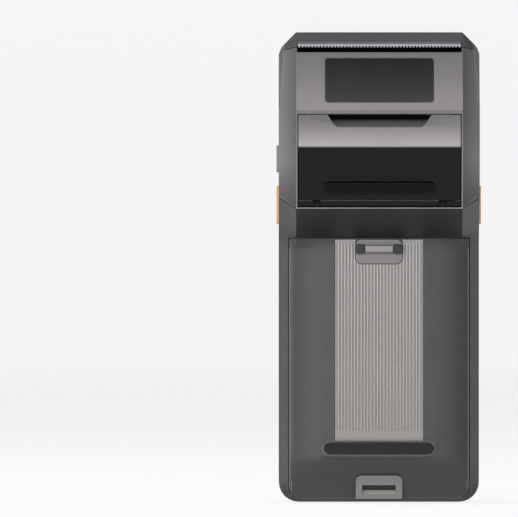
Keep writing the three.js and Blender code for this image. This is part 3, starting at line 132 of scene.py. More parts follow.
def makeFinish(look):
    # A fine pattern, the grain, runs between two tones and gives the bump, and a slow one, the cloud, changes
    # the roughness. Both sizes and the bump are in mm. A stretch under 1 draws the grain out along an axis.
    look = {**usualLook, **look}
    finish = bpy.data.materials.new(look["name"])
    finish.use_nodes = True
    tree = finish.node_tree
    tree.nodes.clear()
    spot = addNode(tree, "ShaderNodeTexCoord").outputs["Object"]
    stretched = addNode(tree, "ShaderNodeMapping", {"Scale": look["stretch"]}, {"Vector": spot})
    grain = addNode(tree, look["pattern"], {"Scale": 1 / (look["grain"] * mm), **look["patternSettings"]},
                    {"Vector": stretched.outputs["Vector"]})
    cloud = addNode(tree, "ShaderNodeTexNoise",
                    {"Scale": 1 / (look["cloud"] * mm), "Detail": look["cloudDetail"]}, {"Vector": spot})
    amount = grain.outputs.get("Fac") or grain.outputs.get("Distance")
    ramp = addNode(tree, "ShaderNodeValToRGB", links={"Fac": amount})
    for stop, position, tone in zip(ramp.color_ramp.elements, look["spread"], (look["dark"], look["light"])):
        stop.position = position
        stop.color = linear(tone)
    colour = ramp.outputs["Color"]
    for fade in look["fades"]:
        colour = addFade(tree, fade, colour, spot)
    shine = addNode(tree, "ShaderNodeMapRange",
                    {"To Min": look["roughness"][0], "To Max": look["roughness"][1]},
                    {"Value": cloud.outputs["Fac"]})
    rise = addNode(tree, "ShaderNodeBump", {"Strength": look["bumpStrength"], "Distance": look["bump"] * mm},
                   {"Height": amount})
    shader = addNode(tree, "ShaderNodeBsdfPrincipled", look["shader"], {
        "Base Color": colour,
        "Roughness": shine.outputs["Result"],
        "Normal": rise.outputs["Normal"],
    })
    addNode(tree, "ShaderNodeOutputMaterial", links={"Surface": shader.outputs["BSDF"]})
    return finish


# Rubbing and a painted highlight lift the darker tone of an edge less than the lighter one, and the rub takes
# off some roughness
edgeRubAndHighlight = {"darkShare": 0.6, "roughnessLeft": 0.85}
rubbedAndLitEdgeFinishes = {}


def lifted(hexColour, share):
    # the colour, part of the way to white
    return "".join("%02x" % round(channel + (255 - channel) * share) for channel in channels(hexColour))


def rubbedAndLitEdgeFinish(name, share):
    # the skin of rounded edges, rubbed and with a painted highlight: paler and smoother than the faces beside
    # it
    if (name, share) not in rubbedAndLitEdgeFinishes:
        look = looks[name]
        rubbedAndLitEdgeFinishes[(name, share)] = makeFinish({
            **look, "name": look["name"] + ", rubbed and highlit edge",
            "light": lifted(look["light"], share),
            "dark": lifted(look["dark"], share * edgeRubAndHighlight["darkShare"]),
            "roughness": tuple(part * edgeRubAndHighlight["roughnessLeft"] for part in look["roughness"])})
    return rubbedAndLitEdgeFinishes[(name, share)]


# The flakes of a lacquer are about 0.03 mm and a spark texture's pits 0.1 mm. Grains this fine wouldn't show,
# so they are drawn at 0.2 mm or more.
looks = {
    # Fine aluminium flake lacquer on moulded plastic: a satin silver that speckles up close
    "silverLacquer": {
        "name": "silver flake lacquer on plastic",
        "light": "7d7a7a", "dark": "726f6f", "grain": 0.25, "cloud": 25, "roughness": (0.44, 0.52),
        "bump": 0.004, "shader": {"Metallic": 0.5}},
    # The head's flat above the door: the lacquer painted paler as painted light, and darker towards the blade
    # as painted shade
    "panelLacquer": {
        "name": "silver flake lacquer, painted light and shade",
        "light": "8e8b8a", "dark": "838080", "grain": 0.25, "cloud": 25, "roughness": (0.44, 0.52),
        "bump": 0.004, "fades": [{"heights": (160, 181), "colour": "757272"}], "shader": {"Metallic": 0.5}},
    # The door's lacquer painted darker as painted shade, with a painted highlight paler towards its lower
    # edge
    "doorLacquer": {
        "name": "silver flake lacquer on the door",
        "light": "726f6f", "dark": "686565", "grain": 0.25, "cloud": 25, "roughness": (0.42, 0.5),
        "bump": 0.004, "fades": [{"heights": (150, 142.5), "colour": "878484"}], "shader": {"Metallic": 0.5}},
    # The strap plate's lacquer painted darker, as painted shade
    "plateLacquer": {
        "name": "silver flake lacquer in painted shade",
        "light": "6d6a6a", "dark": "636060", "grain": 0.25, "cloud": 12, "roughness": (0.44, 0.52),
        "bump": 0.004, "shader": {"Metallic": 0.5}},
    # On the head's slanting corners it is painted darker inward and downward to the dark plastic below, as
    # painted shade
    "cornerLacquer": {
        "name": "silver flake lacquer, thinning downward",
        "light": "7b7878", "dark": "706d6d", "grain": 0.25, "cloud": 25, "roughness": (0.44, 0.52),
        "bump": 0.004,
        "fades": [{"widths": (40, 33.5), "colour": "565353"}, {"heights": (136, 118), "colour": "343232"}],
        "shader": {"Metallic": 0.5}},
    # The mid frame's lacquer is paler beside the grip and darker towards the head
    "frameLacquer": {
        "name": "grey flake lacquer on plastic",
        "light": "8e8b8b", "dark": "838080", "grain": 0.25, "cloud": 25, "roughness": (0.44, 0.52),
        "bump": 0.004, "fades": [{"heights": (112, 178), "colour": "545252"}], "shader": {"Metallic": 0.5}},
    # ABS moulded in a spark eroded tool: dark grey with a fine even grain, and painted shade under the head
    "darkAbs": {
        "name": "dark grey spark textured ABS",
        "light": "302e2d", "dark": "272625", "grain": 0.35, "cloud": 18, "roughness": (0.46, 0.56),
        "bump": 0.012, "fades": [{"heights": (99.5, 107.5), "colour": "141313"}], "shader": {"IOR": 1.53}},
    # The top cap is the same ABS, painted paler as painted light on its upward face
    "capAbs": {
        "name": "dark grey ABS in painted light",
        "light": "444241", "dark": "393736", "grain": 0.35, "cloud": 18, "roughness": (0.44, 0.54),
        "bump": 0.012, "shader": {"IOR": 1.53}},
    # The lower lug is moulded in a paler grey
    "lugAbs": {
        "name": "mid grey spark textured ABS",
        "light": "757371", "dark": "676563", "grain": 0.35, "cloud": 10, "roughness": (0.46, 0.56),
        "bump": 0.015, "shader": {"IOR": 1.53}},
    # The lip of that lug's slot faces up and is painted pale, as painted light
    "lipAbs": {
        "name": "ABS lip in painted light",
        "light": "c4c1be", "dark": "b6b3b0", "grain": 0.6, "cloud": 10, "roughness": (0.36, 0.46),
        "bump": 0.002, "shader": {"IOR": 1.53}},
    # The ribs of the strip carry the silver lacquer, brightest near the top
    "stripLacquer": {
        "name": "silver lacquer on ribs, paler near the top",
        "light": "989593", "dark": "8c8987", "grain": 0.3, "stretch": (1, 1, 0.1), "cloud": 20,
        "roughness": (0.34, 0.44), "bump": 0.004, "fades": [{"heights": (96, 38), "colour": "8a8785"}],
        "shader": {"Metallic": 0.3}},
    # The strip's plain ends carry it too, duller and a little darker
    "stripEnd": {
        "name": "dull lacquer on the strip's ends",
        "light": "8a8785", "dark": "7f7c7a", "grain": 0.3, "cloud": 20, "roughness": (0.45, 0.55),
        "bump": 0.004, "fades": [{"heights": (96, 38), "colour": "868381"}], "shader": {"IOR": 1.5}},
    # The posts of the strap plate: the dark ABS again, with less shine
    "postAbs": {
        "name": "dark ABS of the strap posts",
        "light": "2a2929", "dark": "222121", "grain": 0.35, "cloud": 6, "roughness": (0.46, 0.56),
        "bump": 0.01, "shader": {"IOR": 1.53, "Specular IOR Level": 0.25}},
    # The lip of the housing under the door: the lacquer painted near white, as a painted highlight
    "rimLacquer": {
        "name": "bright silver lacquer on the lip",
        "light": "eae6e5", "dark": "dedad9", "grain": 0.25, "cloud": 20, "roughness": (0.36, 0.44),
        "bump": 0.003, "shader": {"Metallic": 0.2}},
    # Edges of the cover painted pale, as a painted highlight
    "edgeAbs": {
        "name": "ABS edge with a painted highlight",
        "light": "514f4e", "dark": "494746", "grain": 0.6, "cloud": 18, "roughness": (0.35, 0.45),
        "bump": 0.002, "shader": {"IOR": 1.53}},
    # The lower foot is a harder, shinier rubber than the door's
    "footUrethane": {
        "name": "satin cast urethane",
        "light": "1f1e1e", "dark": "151414", "grain": 0.45, "cloud": 8, "roughness": (0.5, 0.6),
        "bump": 0.006, "shader": {"IOR": 1.5, "Specular IOR Level": 0.18}},
    # The door's finger recess: bare matt ABS with almost no reflection, and painted shade, near black, above
    # a line just over its lower edge
    "recessAbs": {
        "name": "dark ABS of the finger recess",
        "light": "6b6868", "dark": "5e5b5b", "grain": 0.35, "cloud": 6, "roughness": (0.6, 0.7),
        "bump": 0.012, "fades": [{"heights": (152.0, 153.0), "colour": "020202"}],
        "shader": {"IOR": 1.53, "Specular IOR Level": 0.03}},
    # The lacquer between the strip's ribs is darker and duller, and a little paler towards the lower end
    "grooveFilm": {
        "name": "dulled aluminium lacquer between ribs",
        "light": "868382", "dark": "7b7877", "grain": 0.5, "stretch": (1, 1, 0.15), "cloud": 14,
        "roughness": (0.5, 0.6), "bump": 0.006, "fades": [{"heights": (36, 85), "colour": "7b7978"}],
        "shader": {"Metallic": 0.2}},
    # ABS and polycarbonate moulding, black, with a fine grain
    "blackAbs": {
        "name": "black fine grained ABS",
        "light": "111111", "dark": "0c0c0c", "grain": 0.3, "cloud": 18, "roughness": (0.4, 0.5),
        "bump": 0.012, "shader": {"IOR": 1.53, "Specular IOR Level": 0.2}},
    # Cover glass over a dark display: polished, nearly black
    "coverGlass": {
        "name": "polished cover glass",
        "light": "0a0a0b", "dark": "070708", "grain": 8, "cloud": 40, "roughness": (0.04, 0.07),
        "bump": 0.0005, "bumpStrength": 0.1,
        "shader": {"IOR": 1.52, "Specular IOR Level": 0.4, "Coat Weight": 0.15, "Coat Roughness": 0.03}},
    # The layers of a liquid crystal display in a black tape frame
    "displayStack": {
        "name": "display film stack",
        "light": "1b1d22", "dark": "14161a", "grain": 0.6, "cloud": 12, "roughness": (0.25, 0.32),
        "bump": 0.002, "shader": {"IOR": 1.5}},
    # Smoked acrylic window in the door: glossy, with faint rubbed scratches; also painted on the door's hinge
    # bead and in the housing's opening, as painted shade
    "smokedAcrylicAndShade": {
        "name": "smoked acrylic, also painted shade",
        "light": "0f0d0e", "dark": "0b090a", "grain": 1.2, "stretch": (1, 1, 6), "cloud": 30,
        "roughness": (0.1, 0.14), "bump": 0.0003, "bumpStrength": 0.1,
        "shader": {"IOR": 1.49, "Specular IOR Level": 0.2}},
    # Moulded rubber of the feet: matt and slightly dusty; also painted on the step behind the blade, as
    # painted shade
    "footRubberAndShade": {
        "name": "matt moulded rubber, also painted shade",
        "light": "0d0d0d", "dark": "070707", "grain": 0.45, "cloud": 8, "roughness": (0.7, 0.82),
        "bump": 0.01, "shader": {"IOR": 1.5, "Specular IOR Level": 0.12}},
    # Satin polycarbonate of the triggers
    "orangePolycarbonate": {
        "name": "orange satin polycarbonate",
        "light": "eba868", "dark": "df9c5c", "grain": 0.3, "cloud": 6, "roughness": (0.36, 0.46),
        "bump": 0.008, "shader": {"IOR": 1.58, "Subsurface Weight": 0.05}},
    # The side key is the same, in grey
    "greyPolycarbonate": {
        "name": "grey satin polycarbonate",
        "light": "828282", "dark": "777777", "grain": 0.3, "cloud": 6, "roughness": (0.38, 0.48),
        "bump": 0.008, "shader": {"IOR": 1.58}},
    # Nylon of the gears and the USB tongue: milky and slightly waxy
    "naturalNylon": {
        "name": "natural moulded nylon",
        "light": "ecebe4", "dark": "dfded6", "grain": 0.8, "cloud": 6, "roughness": (0.4, 0.5),
        "bump": 0.006, "shader": {"IOR": 1.53, "Subsurface Weight": 0.1}},
    # Cold rolled stainless sheet: fine lines in one direction
    "rolledSteel": {
        "name": "cold rolled stainless steel",
        "light": "c4c5c7", "dark": "a9abad", "grain": 0.7, "stretch": (1, 1, 14), "cloud": 14,
        "roughness": (0.3, 0.42), "bump": 0.004, "shader": {"Metallic": 1.0}},
    # The cutter: hard steel ground along its edge
    "groundSteel": {
        "name": "ground hardened steel",
        "light": "46474a", "dark": "404144", "grain": 0.5, "stretch": (0.08, 1, 1), "cloud": 6,
        "roughness": (0.34, 0.42), "bump": 0.001, "shader": {"Metallic": 1.0}},
    # Its teeth take a lighter copy of the steel, so that the band above them stays darker, as painted shade
    # under the cap
    "toothSteel": {
        "name": "bright ground teeth",
        "light": "76777b", "dark": "6f7074", "grain": 0.5, "stretch": (1, 1, 0.08), "cloud": 6,
        "roughness": (0.3, 0.38), "bump": 0.001, "shader": {"Metallic": 1.0}},
    # Screws: steel with a black oxide skin
    "blackOxideSteel": {
        "name": "black oxide steel",
        "light": "4b4b4e", "dark": "343437", "grain": 0.4, "cloud": 4, "roughness": (0.35, 0.48),
        "bump": 0.006, "shader": {"Metallic": 0.9}},
    # Nickel plate on the USB shell
    "nickelPlate": {
        "name": "bright nickel plate",
        "light": "e6e4e0", "dark": "d6d4d0", "grain": 1.5, "cloud": 5, "roughness": (0.1, 0.18),
        "bump": 0.001, "shader": {"Metallic": 1.0}},
    # Brass turned on a lathe: faint rings round its length
    "turnedBrass": {
        "name": "turned brass",
        "light": "d2ab62", "dark": "b48c46", "grain": 0.3, "stretch": (6, 1, 1), "cloud": 4,
        "roughness": (0.25, 0.36), "bump": 0.004, "shader": {"Metallic": 1.0}},
    # Aluminium pressed through a die: fine lines along its length
    "extrudedAluminium": {
        "name": "extruded aluminium",
        "light": "cfd1d4", "dark": "b4b6ba", "grain": 0.5, "stretch": (0.06, 1, 1), "cloud": 10,
        "roughness": (0.34, 0.46), "bump": 0.006, "shader": {"Metallic": 1.0}},
    # Glass fibre board under green solder mask, with its tracks as a faint check
    "solderMask": {
        "name": "solder mask on glass fibre",
        "light": "2e6b3c", "dark": "1c4f2b", "grain": 2.2, "cloud": 10, "roughness": (0.3, 0.42),
        "bump": 0.02, "patternSettings": {"distance": "CHEBYCHEV"}, "pattern": "ShaderNodeTexVoronoi",
        "spread": (0.35, 0.5), "shader": {"IOR": 1.5, "Coat Weight": 0.2}},
    # Thermal paper, tightly wound: smooth white with the winding's faint lines at the ends
    "thermalPaper": {
        "name": "smooth thermal paper",
        "light": "f3f1eb", "dark": "e3e0d8", "grain": 0.6, "stretch": (0.05, 1, 1), "cloud": 10,
        "roughness": (0.62, 0.74), "bump": 0.01, "shader": {"IOR": 1.45}},
    # The roll's core: brown card wound in layers, dry and rough
    "woundCard": {
        "name": "brown wound card",
        "light": "b99f7a", "dark": "a1875f", "grain": 1.4, "stretch": (0.3, 1, 1), "cloud": 5,
        "roughness": (0.8, 0.9), "bump": 0.03, "shader": {"IOR": 1.45}},
    # Platen rubber: ground to size, so very matt and even
    "platenRubber": {
        "name": "ground platen rubber",
        "light": "2a2a2c", "dark": "1f1f21", "grain": 0.2, "cloud": 8, "roughness": (0.7, 0.8),
        "bump": 0.01, "shader": {"IOR": 1.5}},
    # Heat shrink film over the battery's cells
    "shrinkFilm": {
        "name": "blue heat shrink film",
        "light": "32446a", "dark": "26365a", "grain": 3.5, "cloud": 12, "roughness": (0.28, 0.38),
        "bump": 0.05, "bumpStrength": 0.3, "shader": {"IOR": 1.5, "Coat Weight": 0.3}},
    # Glazed ceramic strip of the thermal head
    "glazedCeramic": {
        "name": "glazed ceramic",
        "light": "3a3430", "dark": "2a2623", "grain": 0.9, "stretch": (1, 1, 8), "cloud": 8,
        "roughness": (0.12, 0.2), "bump": 0.003, "shader": {"IOR": 1.6, "Coat Weight": 0.3}},
    # Polycarbonate film of the blank label: bare and satin, darker towards its upper edge
    "labelFilm": {
        "name": "bare satin polycarbonate film",
        "light": "343234", "dark": "2b292b", "grain": 0.2, "cloud": 9, "roughness": (0.3, 0.4),
        "bump": 0.003, "fades": [{"heights": (160, 178), "colour": "100f10"}],
        "shader": {"IOR": 1.58, "Specular IOR Level": 0.35}},
}
slotFinish = {
    "front_glass": "coverGlass", "display": "displayStack", "black_plastic": "blackAbs",
    "silver_paint": "silverLacquer", "mid_grey_paint": "frameLacquer", "dark_grey_plastic": "darkAbs",
    "label": "labelFilm", "gloss_black": "smokedAcrylicAndShade", "foot_rubber": "footRubberAndShade",
    "orange_plastic": "orangePolycarbonate", "key_grey": "greyPolycarbonate", "white_plastic": "naturalNylon",
    "steel": "rolledSteel", "blade_steel": "groundSteel", "dark_steel": "blackOxideSteel",
    "bright_steel": "nickelPlate", "brass": "turnedBrass", "heat_sink": "extrudedAluminium",
    "board": "solderMask", "paper": "thermalPaper", "card": "woundCard", "platen_rubber": "platenRubber",
    "battery_wrap": "shrinkFilm", "ceramic": "glazedCeramic",
}
slotOf = {part["node"]: part["material_slot"] for part in frame["record"]["subparts"]}
bodyOf = {node: body for body, held in frame["record"]["behaviour"]["bodies"].items() for node in held}
finishes = {name: makeFinish(look) for name, look in looks.items()}
print("materials made:", len(finishes))


# Pieces

def deselect():
    if bpy.context.object and bpy.context.object.mode != "OBJECT":
        bpy.ops.object.mode_set(mode="OBJECT")
    bpy.ops.object.select_all(action="DESELECT")


def pick(piece):
    deselect()
    piece.select_set(True)
    bpy.context.view_layer.objects.active = piece


def stand(piece, node):
    # piece takes the node's body and place in the table
    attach(piece, bodyOf[node])
    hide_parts(node)


def roundEdges(piece, width, segments=2, angle=32, material=-1):
    pick(piece)
    edge = piece.modifiers.new("rounded edges", "BEVEL")
    edge.width = width * mm
    edge.segments = segments
    edge.limit_method = "ANGLE"
    edge.angle_limit = radians(angle)
    edge.use_clamp_overlap = True
    edge.miter_outer = "MITER_ARC"
    edge.material = material
    bpy.ops.object.modifier_apply(modifier=edge.name)


merging = {"reach": 0.04, "flat": 0.6}  # mm between doubles, degrees between triangles of one face


def mergedCopy(node):
    deselect()
    piece = nodes[node].copy()
    piece.data = nodes[node].data.copy()
    bpy.context.scene.collection.objects.link(piece)
    pick(piece)
    piece.name = node + "_finished"
    bpy.ops.object.mode_set(mode="EDIT")
    bpy.ops.mesh.select_all(action="SELECT")
    bpy.ops.mesh.remove_doubles(threshold=merging["reach"] * mm)
    bpy.ops.mesh.dissolve_limited(angle_limit=radians(merging["flat"]))
    bpy.ops.mesh.select_all(action="DESELECT")
    bpy.ops.object.mode_set(mode="OBJECT")
    return piece


def cutAcross(piece, cuts):
    # a line round the piece at each cut, where a finish can end
    pick(piece)
    bpy.ops.object.mode_set(mode="EDIT")
    for spot, normal in cuts:
        bpy.ops.mesh.select_all(action="SELECT")
        bpy.ops.mesh.bisect(plane_co=spot, plane_no=normal)
    bpy.ops.mesh.select_all(action="DESELECT")
    bpy.ops.object.mode_set(mode="OBJECT")


def raisePoints(piece, isRaised, rise):
    pick(piece)
    for vertex in piece.data.vertices:
        vertex.select = isRaised(vertex.co)
    bpy.ops.object.mode_set(mode="EDIT")
    bpy.ops.mesh.select_mode(type="VERT")
    bpy.ops.transform.translate(value=(0, 0, rise * mm))
    bpy.ops.object.mode_set(mode="OBJECT")


materialAt = {"edge": 1, "zones": 2}  # a finished piece's materials: its skin, its edges, then its zones


def paintZone(piece, inZone, material, edgesOnly=False):
    for face in piece.data.polygons:
        centre = face.center
        if edgesOnly and face.material_index != materialAt["edge"]:
            continue
        if inZone(centre.x / mm, depthOf(centre), heightOf(centre), face.normal):
            face.material_index = material


finished = []
usualPiece = {"wearAndHighlight": 0.18, "smooth": 30, "plain": []}


def finishPiece(node, look, zones=(), shape=None):
    # A merged copy of the CAD piece gets rounded edges, rubbed paler with a painted highlight or dark as a
    # seam, and its own finish on each zone of faces. The edges of a zone that the look calls plain keep that
    # zone's finish.
    look = {**usualPiece, **look}
    piece = mergedCopy(node)
    if shape:
        shape(piece)
    skin = look.get("finish", slotFinish[slotOf[node]])
    edgeFinish = finishes[look["seam"]] if "seam" in look else rubbedAndLitEdgeFinish(skin, look["wearAndHighlight"])
    piece.data.materials.clear()
    for finish in (finishes[skin], edgeFinish, *[finishes[zone] for zone, inZone in zones]):
        piece.data.materials.append(finish)
    for at, (zone, inZone) in enumerate(zones, materialAt["zones"]):
        paintZone(piece, inZone, at)
    roundEdges(piece, look["edge"], material=materialAt["edge"])
    for at, (zone, inZone) in enumerate(zones, materialAt["zones"]):
        if zone in look["plain"]:
            paintZone(piece, inZone, at, edgesOnly=True)
    pick(piece)
    bpy.ops.object.shade_smooth_by_angle(angle=radians(look["smooth"]))
    # the large faces keep their own shading, and the rounding takes up the turn
    even = piece.modifiers.new("even shading", "WEIGHTED_NORMAL")
    even.keep_sharp = True
    bpy.ops.object.modifier_apply(modifier=even.name)
    stand(piece, node)
    finished.append(node)


# Below, a zone's "Facing" is the least share of a face's normal that has to point that way.

# Screen, frames, port and keys: each takes one finish all over, and the mid frame's edges are dark seams
frontPieces = {
    "front_glass": {"edge": 0.3},
    "front_frame": {"edge": 0.15},
    "mid_frame": {"edge": 0.15, "seam": "blackAbs"},
    "usb_receptacle": {"edge": 0.08},
    "usb_tongue": {"edge": 0.1},
    "right_trigger": {"edge": 0.35},
    "left_trigger": {"edge": 0.35},
    "side_key": {"edge": 0.3},
}
for node, look in frontPieces.items():
    finishPiece(node, look)

# Rear housing: silver, with painted light and shade on the flat above the door and on the slanting corners,
# black in the door's opening, where the silver doesn't reach and as painted shade in the hinge's gap, and a
# painted highlight on the lip below it
housing = {
    "edge": 0.2, "wearAndHighlight": 0.35, "smooth": 11, "plain": ["smokedAcrylicAndShade", "cornerLacquer"],
    "openingHalf": 33.4, "openingLow": 117.7, "openingHigh": 156, "openingBack": 53.2,
    "lugFrom": 23.5, "lugTo": 26.5, "lugTop": 121,  # the door's two hinge lugs
    "lipLow": 117.2, "lipDepth": 52.2, "lipFacing": 0.5,
    "panelFacing": 0.85,  # the flat above the door
    "cornerFacing": 0.3, "footTop": 137, "footDepth": 45, "sideFacing": 0.95,
}


# painted black: the opening is bare moulding, and painted shade in the hinge's gap
def inOpening(x, depth, height, normal):
    inside = abs(x) < housing["openingHalf"] and housing["openingLow"] < height < housing["openingHigh"]
    onLug = housing["lugFrom"] < abs(x) < housing["lugTo"] and height < housing["lugTop"]
    return inside and (depth < housing["openingBack"] or onLug)


# painted highlight: the lip's faces take the near white lacquer
def onHousingLip(x, depth, height, normal):
    low = housing["lipLow"] < height <= housing["openingLow"] and depth > housing["lipDepth"]
    return low and abs(x) < housing["openingHalf"] and normal.y > housing["lipFacing"]


# painted light and shade: the flat above the door takes the paler lacquer that darkens towards the blade
def onPanel(x, depth, height, normal):
    return normal.y > housing["panelFacing"] and height > housing["openingHigh"]


# painted shade: the corners' lacquer darkens inward and downward
def onCorner(x, depth, height, normal):
    # the head's slanting corners, and their feet, which turn down to the grip
    slanting = abs(normal.x) > housing["cornerFacing"] and normal.y > housing["cornerFacing"]
    low = height < housing["footTop"] and depth > housing["footDepth"]
    return abs(x) > housing["openingHalf"] and (slanting or low and abs(normal.x) < housing["sideFacing"])


finishPiece("rear_housing", housing, [("panelLacquer", onPanel), ("cornerLacquer", onCorner),
                                      ("smokedAcrylicAndShade", inOpening), ("rimLacquer", onHousingLip)])

# Top cap: the step behind the blade is painted matt black, as painted shade behind the teeth
cap = {"edge": 0.2, "finish": "capAbs",
       "stepDepth": (44, 45), "stepHeight": (179, 184), "stepFacing": 0.9}


# painted shade: these faces are painted matt black
def behindBlade(x, depth, height, normal):
    inStep = (cap["stepDepth"][0] < depth < cap["stepDepth"][1]
              and cap["stepHeight"][0] < height < cap["stepHeight"][1])
    return inStep and normal.y > cap["stepFacing"]


finishPiece("top_cap", cap, [("footRubberAndShade", behindBlade)])
finishPiece("label_plate", {"edge": 0.12, "wearAndHighlight": 0.1})

# Printer door: its hinge bead and lower edge are painted black like its window, as painted shade in the
# hinge's gap, and its finger recess is left bare, with painted shade in its upper part. The recess lies under
# the door's skin, whose depth at the recess's lower edge is given, and its lean per mm.
door = {"edge": 0.15, "finish": "doorLacquer", "plain": ["smokedAcrylicAndShade", "recessAbs"],
        "beadTop": 120.7, "recessLow": 149.9, "recessHalf": 21.3, "skinDepth": 57.6, "skinLean": 0.2}


# painted shade: the bead takes the window's black for the shade in the hinge's gap
def onBead(x, depth, height, normal):
    return height < door["beadTop"]


# painted shade: the recess takes a finish that turns near black above its lower edge
def inRecess(x, depth, height, normal):
    above = height - door["recessLow"]
    return 0 < above and abs(x) < door["recessHalf"] and depth < door["skinDepth"] - above * door["skinLean"]


finishPiece("printer_door", door, [("smokedAcrylicAndShade", onBead), ("recessAbs", inRecess)])
finishPiece("door_window", {"edge": 0.15, "wearAndHighlight": 0.05})
finishPiece("door_foot", {"edge": 0.4, "wearAndHighlight": 0.05})
finishPiece("grip_housing", {"edge": 0.15, "wearAndHighlight": 0.4})

# Battery cover: its edges are painted pale, a painted highlight line down both sides
cover = {"edge": 0.4, "wearAndHighlight": 0.7, "lineHalf": 35.5, "lineTop": 101.3, "lineFacing": 0.02}


def cutEdgeLine(piece):
    cutAcross(piece, [(place(cover["lineHalf"], 0, 0), (1, 0, 0)),
                      (place(-cover["lineHalf"], 0, 0), (1, 0, 0)),
                      (place(0, 0, cover["lineTop"]), (0, 0, 1))])


# painted highlight: these faces take the pale edge finish
def onEdgeLine(x, depth, height, normal):
    return abs(x) > cover["lineHalf"] and height < cover["lineTop"] and normal.y > cover["lineFacing"]


finishPiece("battery_cover", cover, [("edgeAbs", onEdgeLine)], cutEdgeLine)

# Strap plate with its posts and bar
finishPiece("strap_plate", {"edge": 0.2, "finish": "plateLacquer"})
for node in ("strap_post_right", "strap_post_left"):
    finishPiece(node, {"edge": 0.4, "wearAndHighlight": 0.05, "finish": "postAbs"})
finishPiece("strap_bar", {"edge": 0.15, "finish": "silverLacquer"})

# Lower strap lug: the lower wall of its slot slopes up inward, so that a strap's end finds its way in
lug = {"edge": 0.35, "wearAndHighlight": 0.2, "finish": "lugAbs",
       "slotHalf": 6.75, "slotLow": 3.2, "slotDepth": 21.5, "rise": 1.7, "near": 0.05,
       "lipFacing": 0.3, "lipSpare": 0.5, "sideSpare": 0.1}


def slopeLip(piece):
    def onInnerEdge(spot):
        return (abs(spot.x) / mm < lug["slotHalf"] and abs(heightOf(spot) - lug["slotLow"]) < lug["near"]
                and depthOf(spot) < lug["slotDepth"])
    raisePoints(piece, onInnerEdge, lug["rise"])


# painted light: the slot's upward lip takes the pale finish
def onSlotLip(x, depth, height, normal):
    low, high = lug["slotLow"] - lug["lipSpare"], lug["slotLow"] + lug["rise"] + lug["lipSpare"]
    return abs(x) < lug["slotHalf"] + lug["sideSpare"] and low < height < high and normal.z > lug["lipFacing"]


finishPiece("lower_strap_lug", lug, [("lipAbs", onSlotLip)], slopeLip)
finishPiece("rear_foot", {"edge": 0.4, "wearAndHighlight": 0.05, "finish": "footUrethane"})

# Cutter blade: its teeth are brighter than the band above them, whose darker steel is painted shade under the
# cap, and its back edge reaches up to the cap
blade = {"edge": 0.06, "plain": ["toothSteel"], "teethTop": 182.85, "backEdge": 183.4, "rise": 0.4}


def cutTeethLine(piece):
    cutAcross(piece, [(place(0, 0, blade["teethTop"]), (0, 0, 1))])
    raisePoints(piece, lambda spot: heightOf(spot) > blade["backEdge"], blade["rise"])


# the teeth take the lighter steel, and the band above keeps the darker one as painted shade
def onTeeth(x, depth, height, normal):
    return height < blade["teethTop"]


finishPiece("cutter_blade", blade, [("toothSteel", onTeeth)], cutTeethLine)

# Ribbed strip: plain at both ends and dull between the ribs
strip = {"edge": 0.08, "wearAndHighlight": 0.3, "finish": "stripLacquer",
         "grooveDepth": 27.6, "grooveHeight": (28, 104), "ribHeight": (28.7, 103.3), "facing": 0.99}


def onStripEnd(x, depth, height, normal):
    return normal.y > strip["facing"] and not strip["ribHeight"][0] < height < strip["ribHeight"][1]


def betweenRibs(x, depth, height, normal):
    onFloor = depth < strip["grooveDepth"] and strip["grooveHeight"][0] < height < strip["grooveHeight"][1]
    return onFloor and normal.y > strip["facing"]


finishPiece("ribbed_strip", strip, [("stripEnd", onStripEnd), ("grooveFilm", betweenRibs)])
print("outside pieces finished:", len(finished))

inside = [node for node in slotOf if node not in finished]
for node in inside:
    source = nodes[node]
    source.data.materials.clear()
    source.data.materials.append(finishes[slotFinish[slotOf[node]]])
print("inside pieces painted:", len(inside))

# Studio, in metres: floor and backdrop are one round bowl of pale paper, far enough off to show no edge
studio = {"radius": 9.4, "wallHeight": 1.3, "sides": 96, "lidFacing": 0.9,
          "bend": 0.8, "bendSteps": 12, "bendFrom": 60, "glow": 0.84}
deselect()
bpy.ops.mesh.primitive_cylinder_add(vertices=studio["sides"], radius=studio["radius"],
                                    depth=studio["wallHeight"],
                                    location=(0, 0, cadLow.z + studio["wallHeight"] / 2))
floor = bpy.context.object
floor.name = "studio_floor"
bpy.ops.object.transform_apply(location=True, rotation=True, scale=True)
# the lid comes off, and the faces turn inward
for element in (*floor.data.edges, *floor.data.vertices):
    element.select = False
for face in floor.data.polygons:
    face.select = face.normal.z > studio["lidFacing"]
bpy.ops.object.mode_set(mode="EDIT")
bpy.ops.mesh.select_mode(type="FACE")
bpy.ops.mesh.delete(type="ONLY_FACE")
bpy.ops.mesh.select_all(action="SELECT")
bpy.ops.mesh.flip_normals()
bpy.ops.object.mode_set(mode="OBJECT")
roundEdges(floor, studio["bend"] / mm, studio["bendSteps"], studio["bendFrom"])
bpy.ops.object.shade_smooth()
# Paper on a light table: matt, even and lit a little from below
paper = {"name": "matt studio paper on a light table",
         "light": "898989", "dark": "888888", "grain": 3, "cloud": 300, "roughness": (0.9, 0.95),
         "bump": 0.001, "bumpStrength": 0.02,
         "shader": {"Emission Color": linear("f6f6f6"), "Emission Strength": studio["glow"],
                    "Specular IOR Level": 0.1}}
floor.data.materials.append(makeFinish(paper))

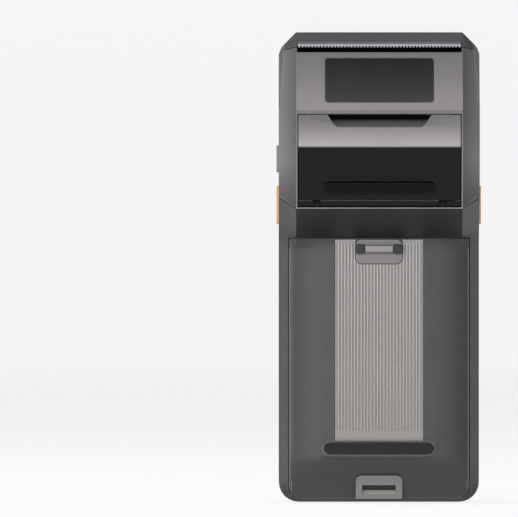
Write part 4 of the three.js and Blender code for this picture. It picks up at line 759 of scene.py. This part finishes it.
# The horizon is as pale as the paper, so the ground has no end when it is looked at level. The first two
# values are heights in the sky, as shares of the way straight up.
horizon = {"top": 0.06, "skyFrom": 0.1, "glow": 0.92, "skyGlow": 0.26}
world = bpy.data.worlds.new("studio")
bpy.context.scene.world = world
world.use_nodes = True
sky = world.node_tree
background = sky.nodes["Background"]
background.inputs["Color"].default_value = linear("ffffff")
direction = addNode(sky, "ShaderNodeSeparateXYZ",
                    links={"Vector": addNode(sky, "ShaderNodeTexCoord").outputs["Generated"]})
level = addNode(sky, "ShaderNodeMath", {"operation": "ABSOLUTE"}, {"Value": direction.outputs["Z"]})
glow = addNode(sky, "ShaderNodeMapRange",
               {"From Min": horizon["top"], "From Max": horizon["skyFrom"],
                "To Min": horizon["glow"], "To Max": horizon["skyGlow"]},
               {"Value": level.outputs["Value"]})
sky.links.new(glow.outputs["Result"], background.inputs["Strength"])

# Soft light from both sides of the camera, from the left and from above: metres and watts
lamps = {
    "key_softbox": {"at": (1.8, 6.2, 1.0), "aim": (0, 0, 0), "side": 2.2, "watts": 168},
    "fill_softbox": {"at": (-1.2, 6.6, 0.8), "aim": (0, 0, 0), "side": 1.8, "watts": 66},
    "left_softbox": {"at": (3.4, 0.5, 0.7), "aim": (0, 0, 0), "side": 1.6, "watts": 60},
    "top_softbox": {"at": (0.3, -0.3, 2.6), "aim": (0, -0.2, 0), "side": 1.6, "watts": 22},
}
for name, lamp in lamps.items():
    light = bpy.data.lights.new(name, "AREA")
    light.shape = "SQUARE"
    light.size = lamp["side"]
    light.energy = lamp["watts"]
    softbox = bpy.data.objects.new(name, light)
    softbox.location = lamp["at"]
    softbox.rotation_euler = (Vector(lamp["aim"]) - Vector(lamp["at"])).to_track_quat("-Z", "Y").to_euler()
    bpy.context.scene.collection.objects.link(softbox)

# Camera, in metres: it looks straight at the back through a very long lens, like the picture's right view.
# Its frame is 207 mm wide at the terminal.
view = {"lens": 1200, "sensor": 36, "aside": 0.048, "distance": 6.918, "height": 0.03509,
        "near": 0.1, "far": 40, "turn": (90, 0, 180)}
camera = bpy.data.objects.new("camera", bpy.data.cameras.new("camera"))
bpy.context.scene.collection.objects.link(camera)
camera.data.lens = view["lens"]
camera.data.sensor_width = view["sensor"]
camera.data.clip_start = view["near"]
camera.data.clip_end = view["far"]
camera.location = (view["aside"], view["distance"], view["height"])
camera.rotation_euler = [radians(angle) for angle in view["turn"]]
bpy.context.scene.camera = camera
bpy.context.scene.view_settings.view_transform = "Standard"
print("studio ready")
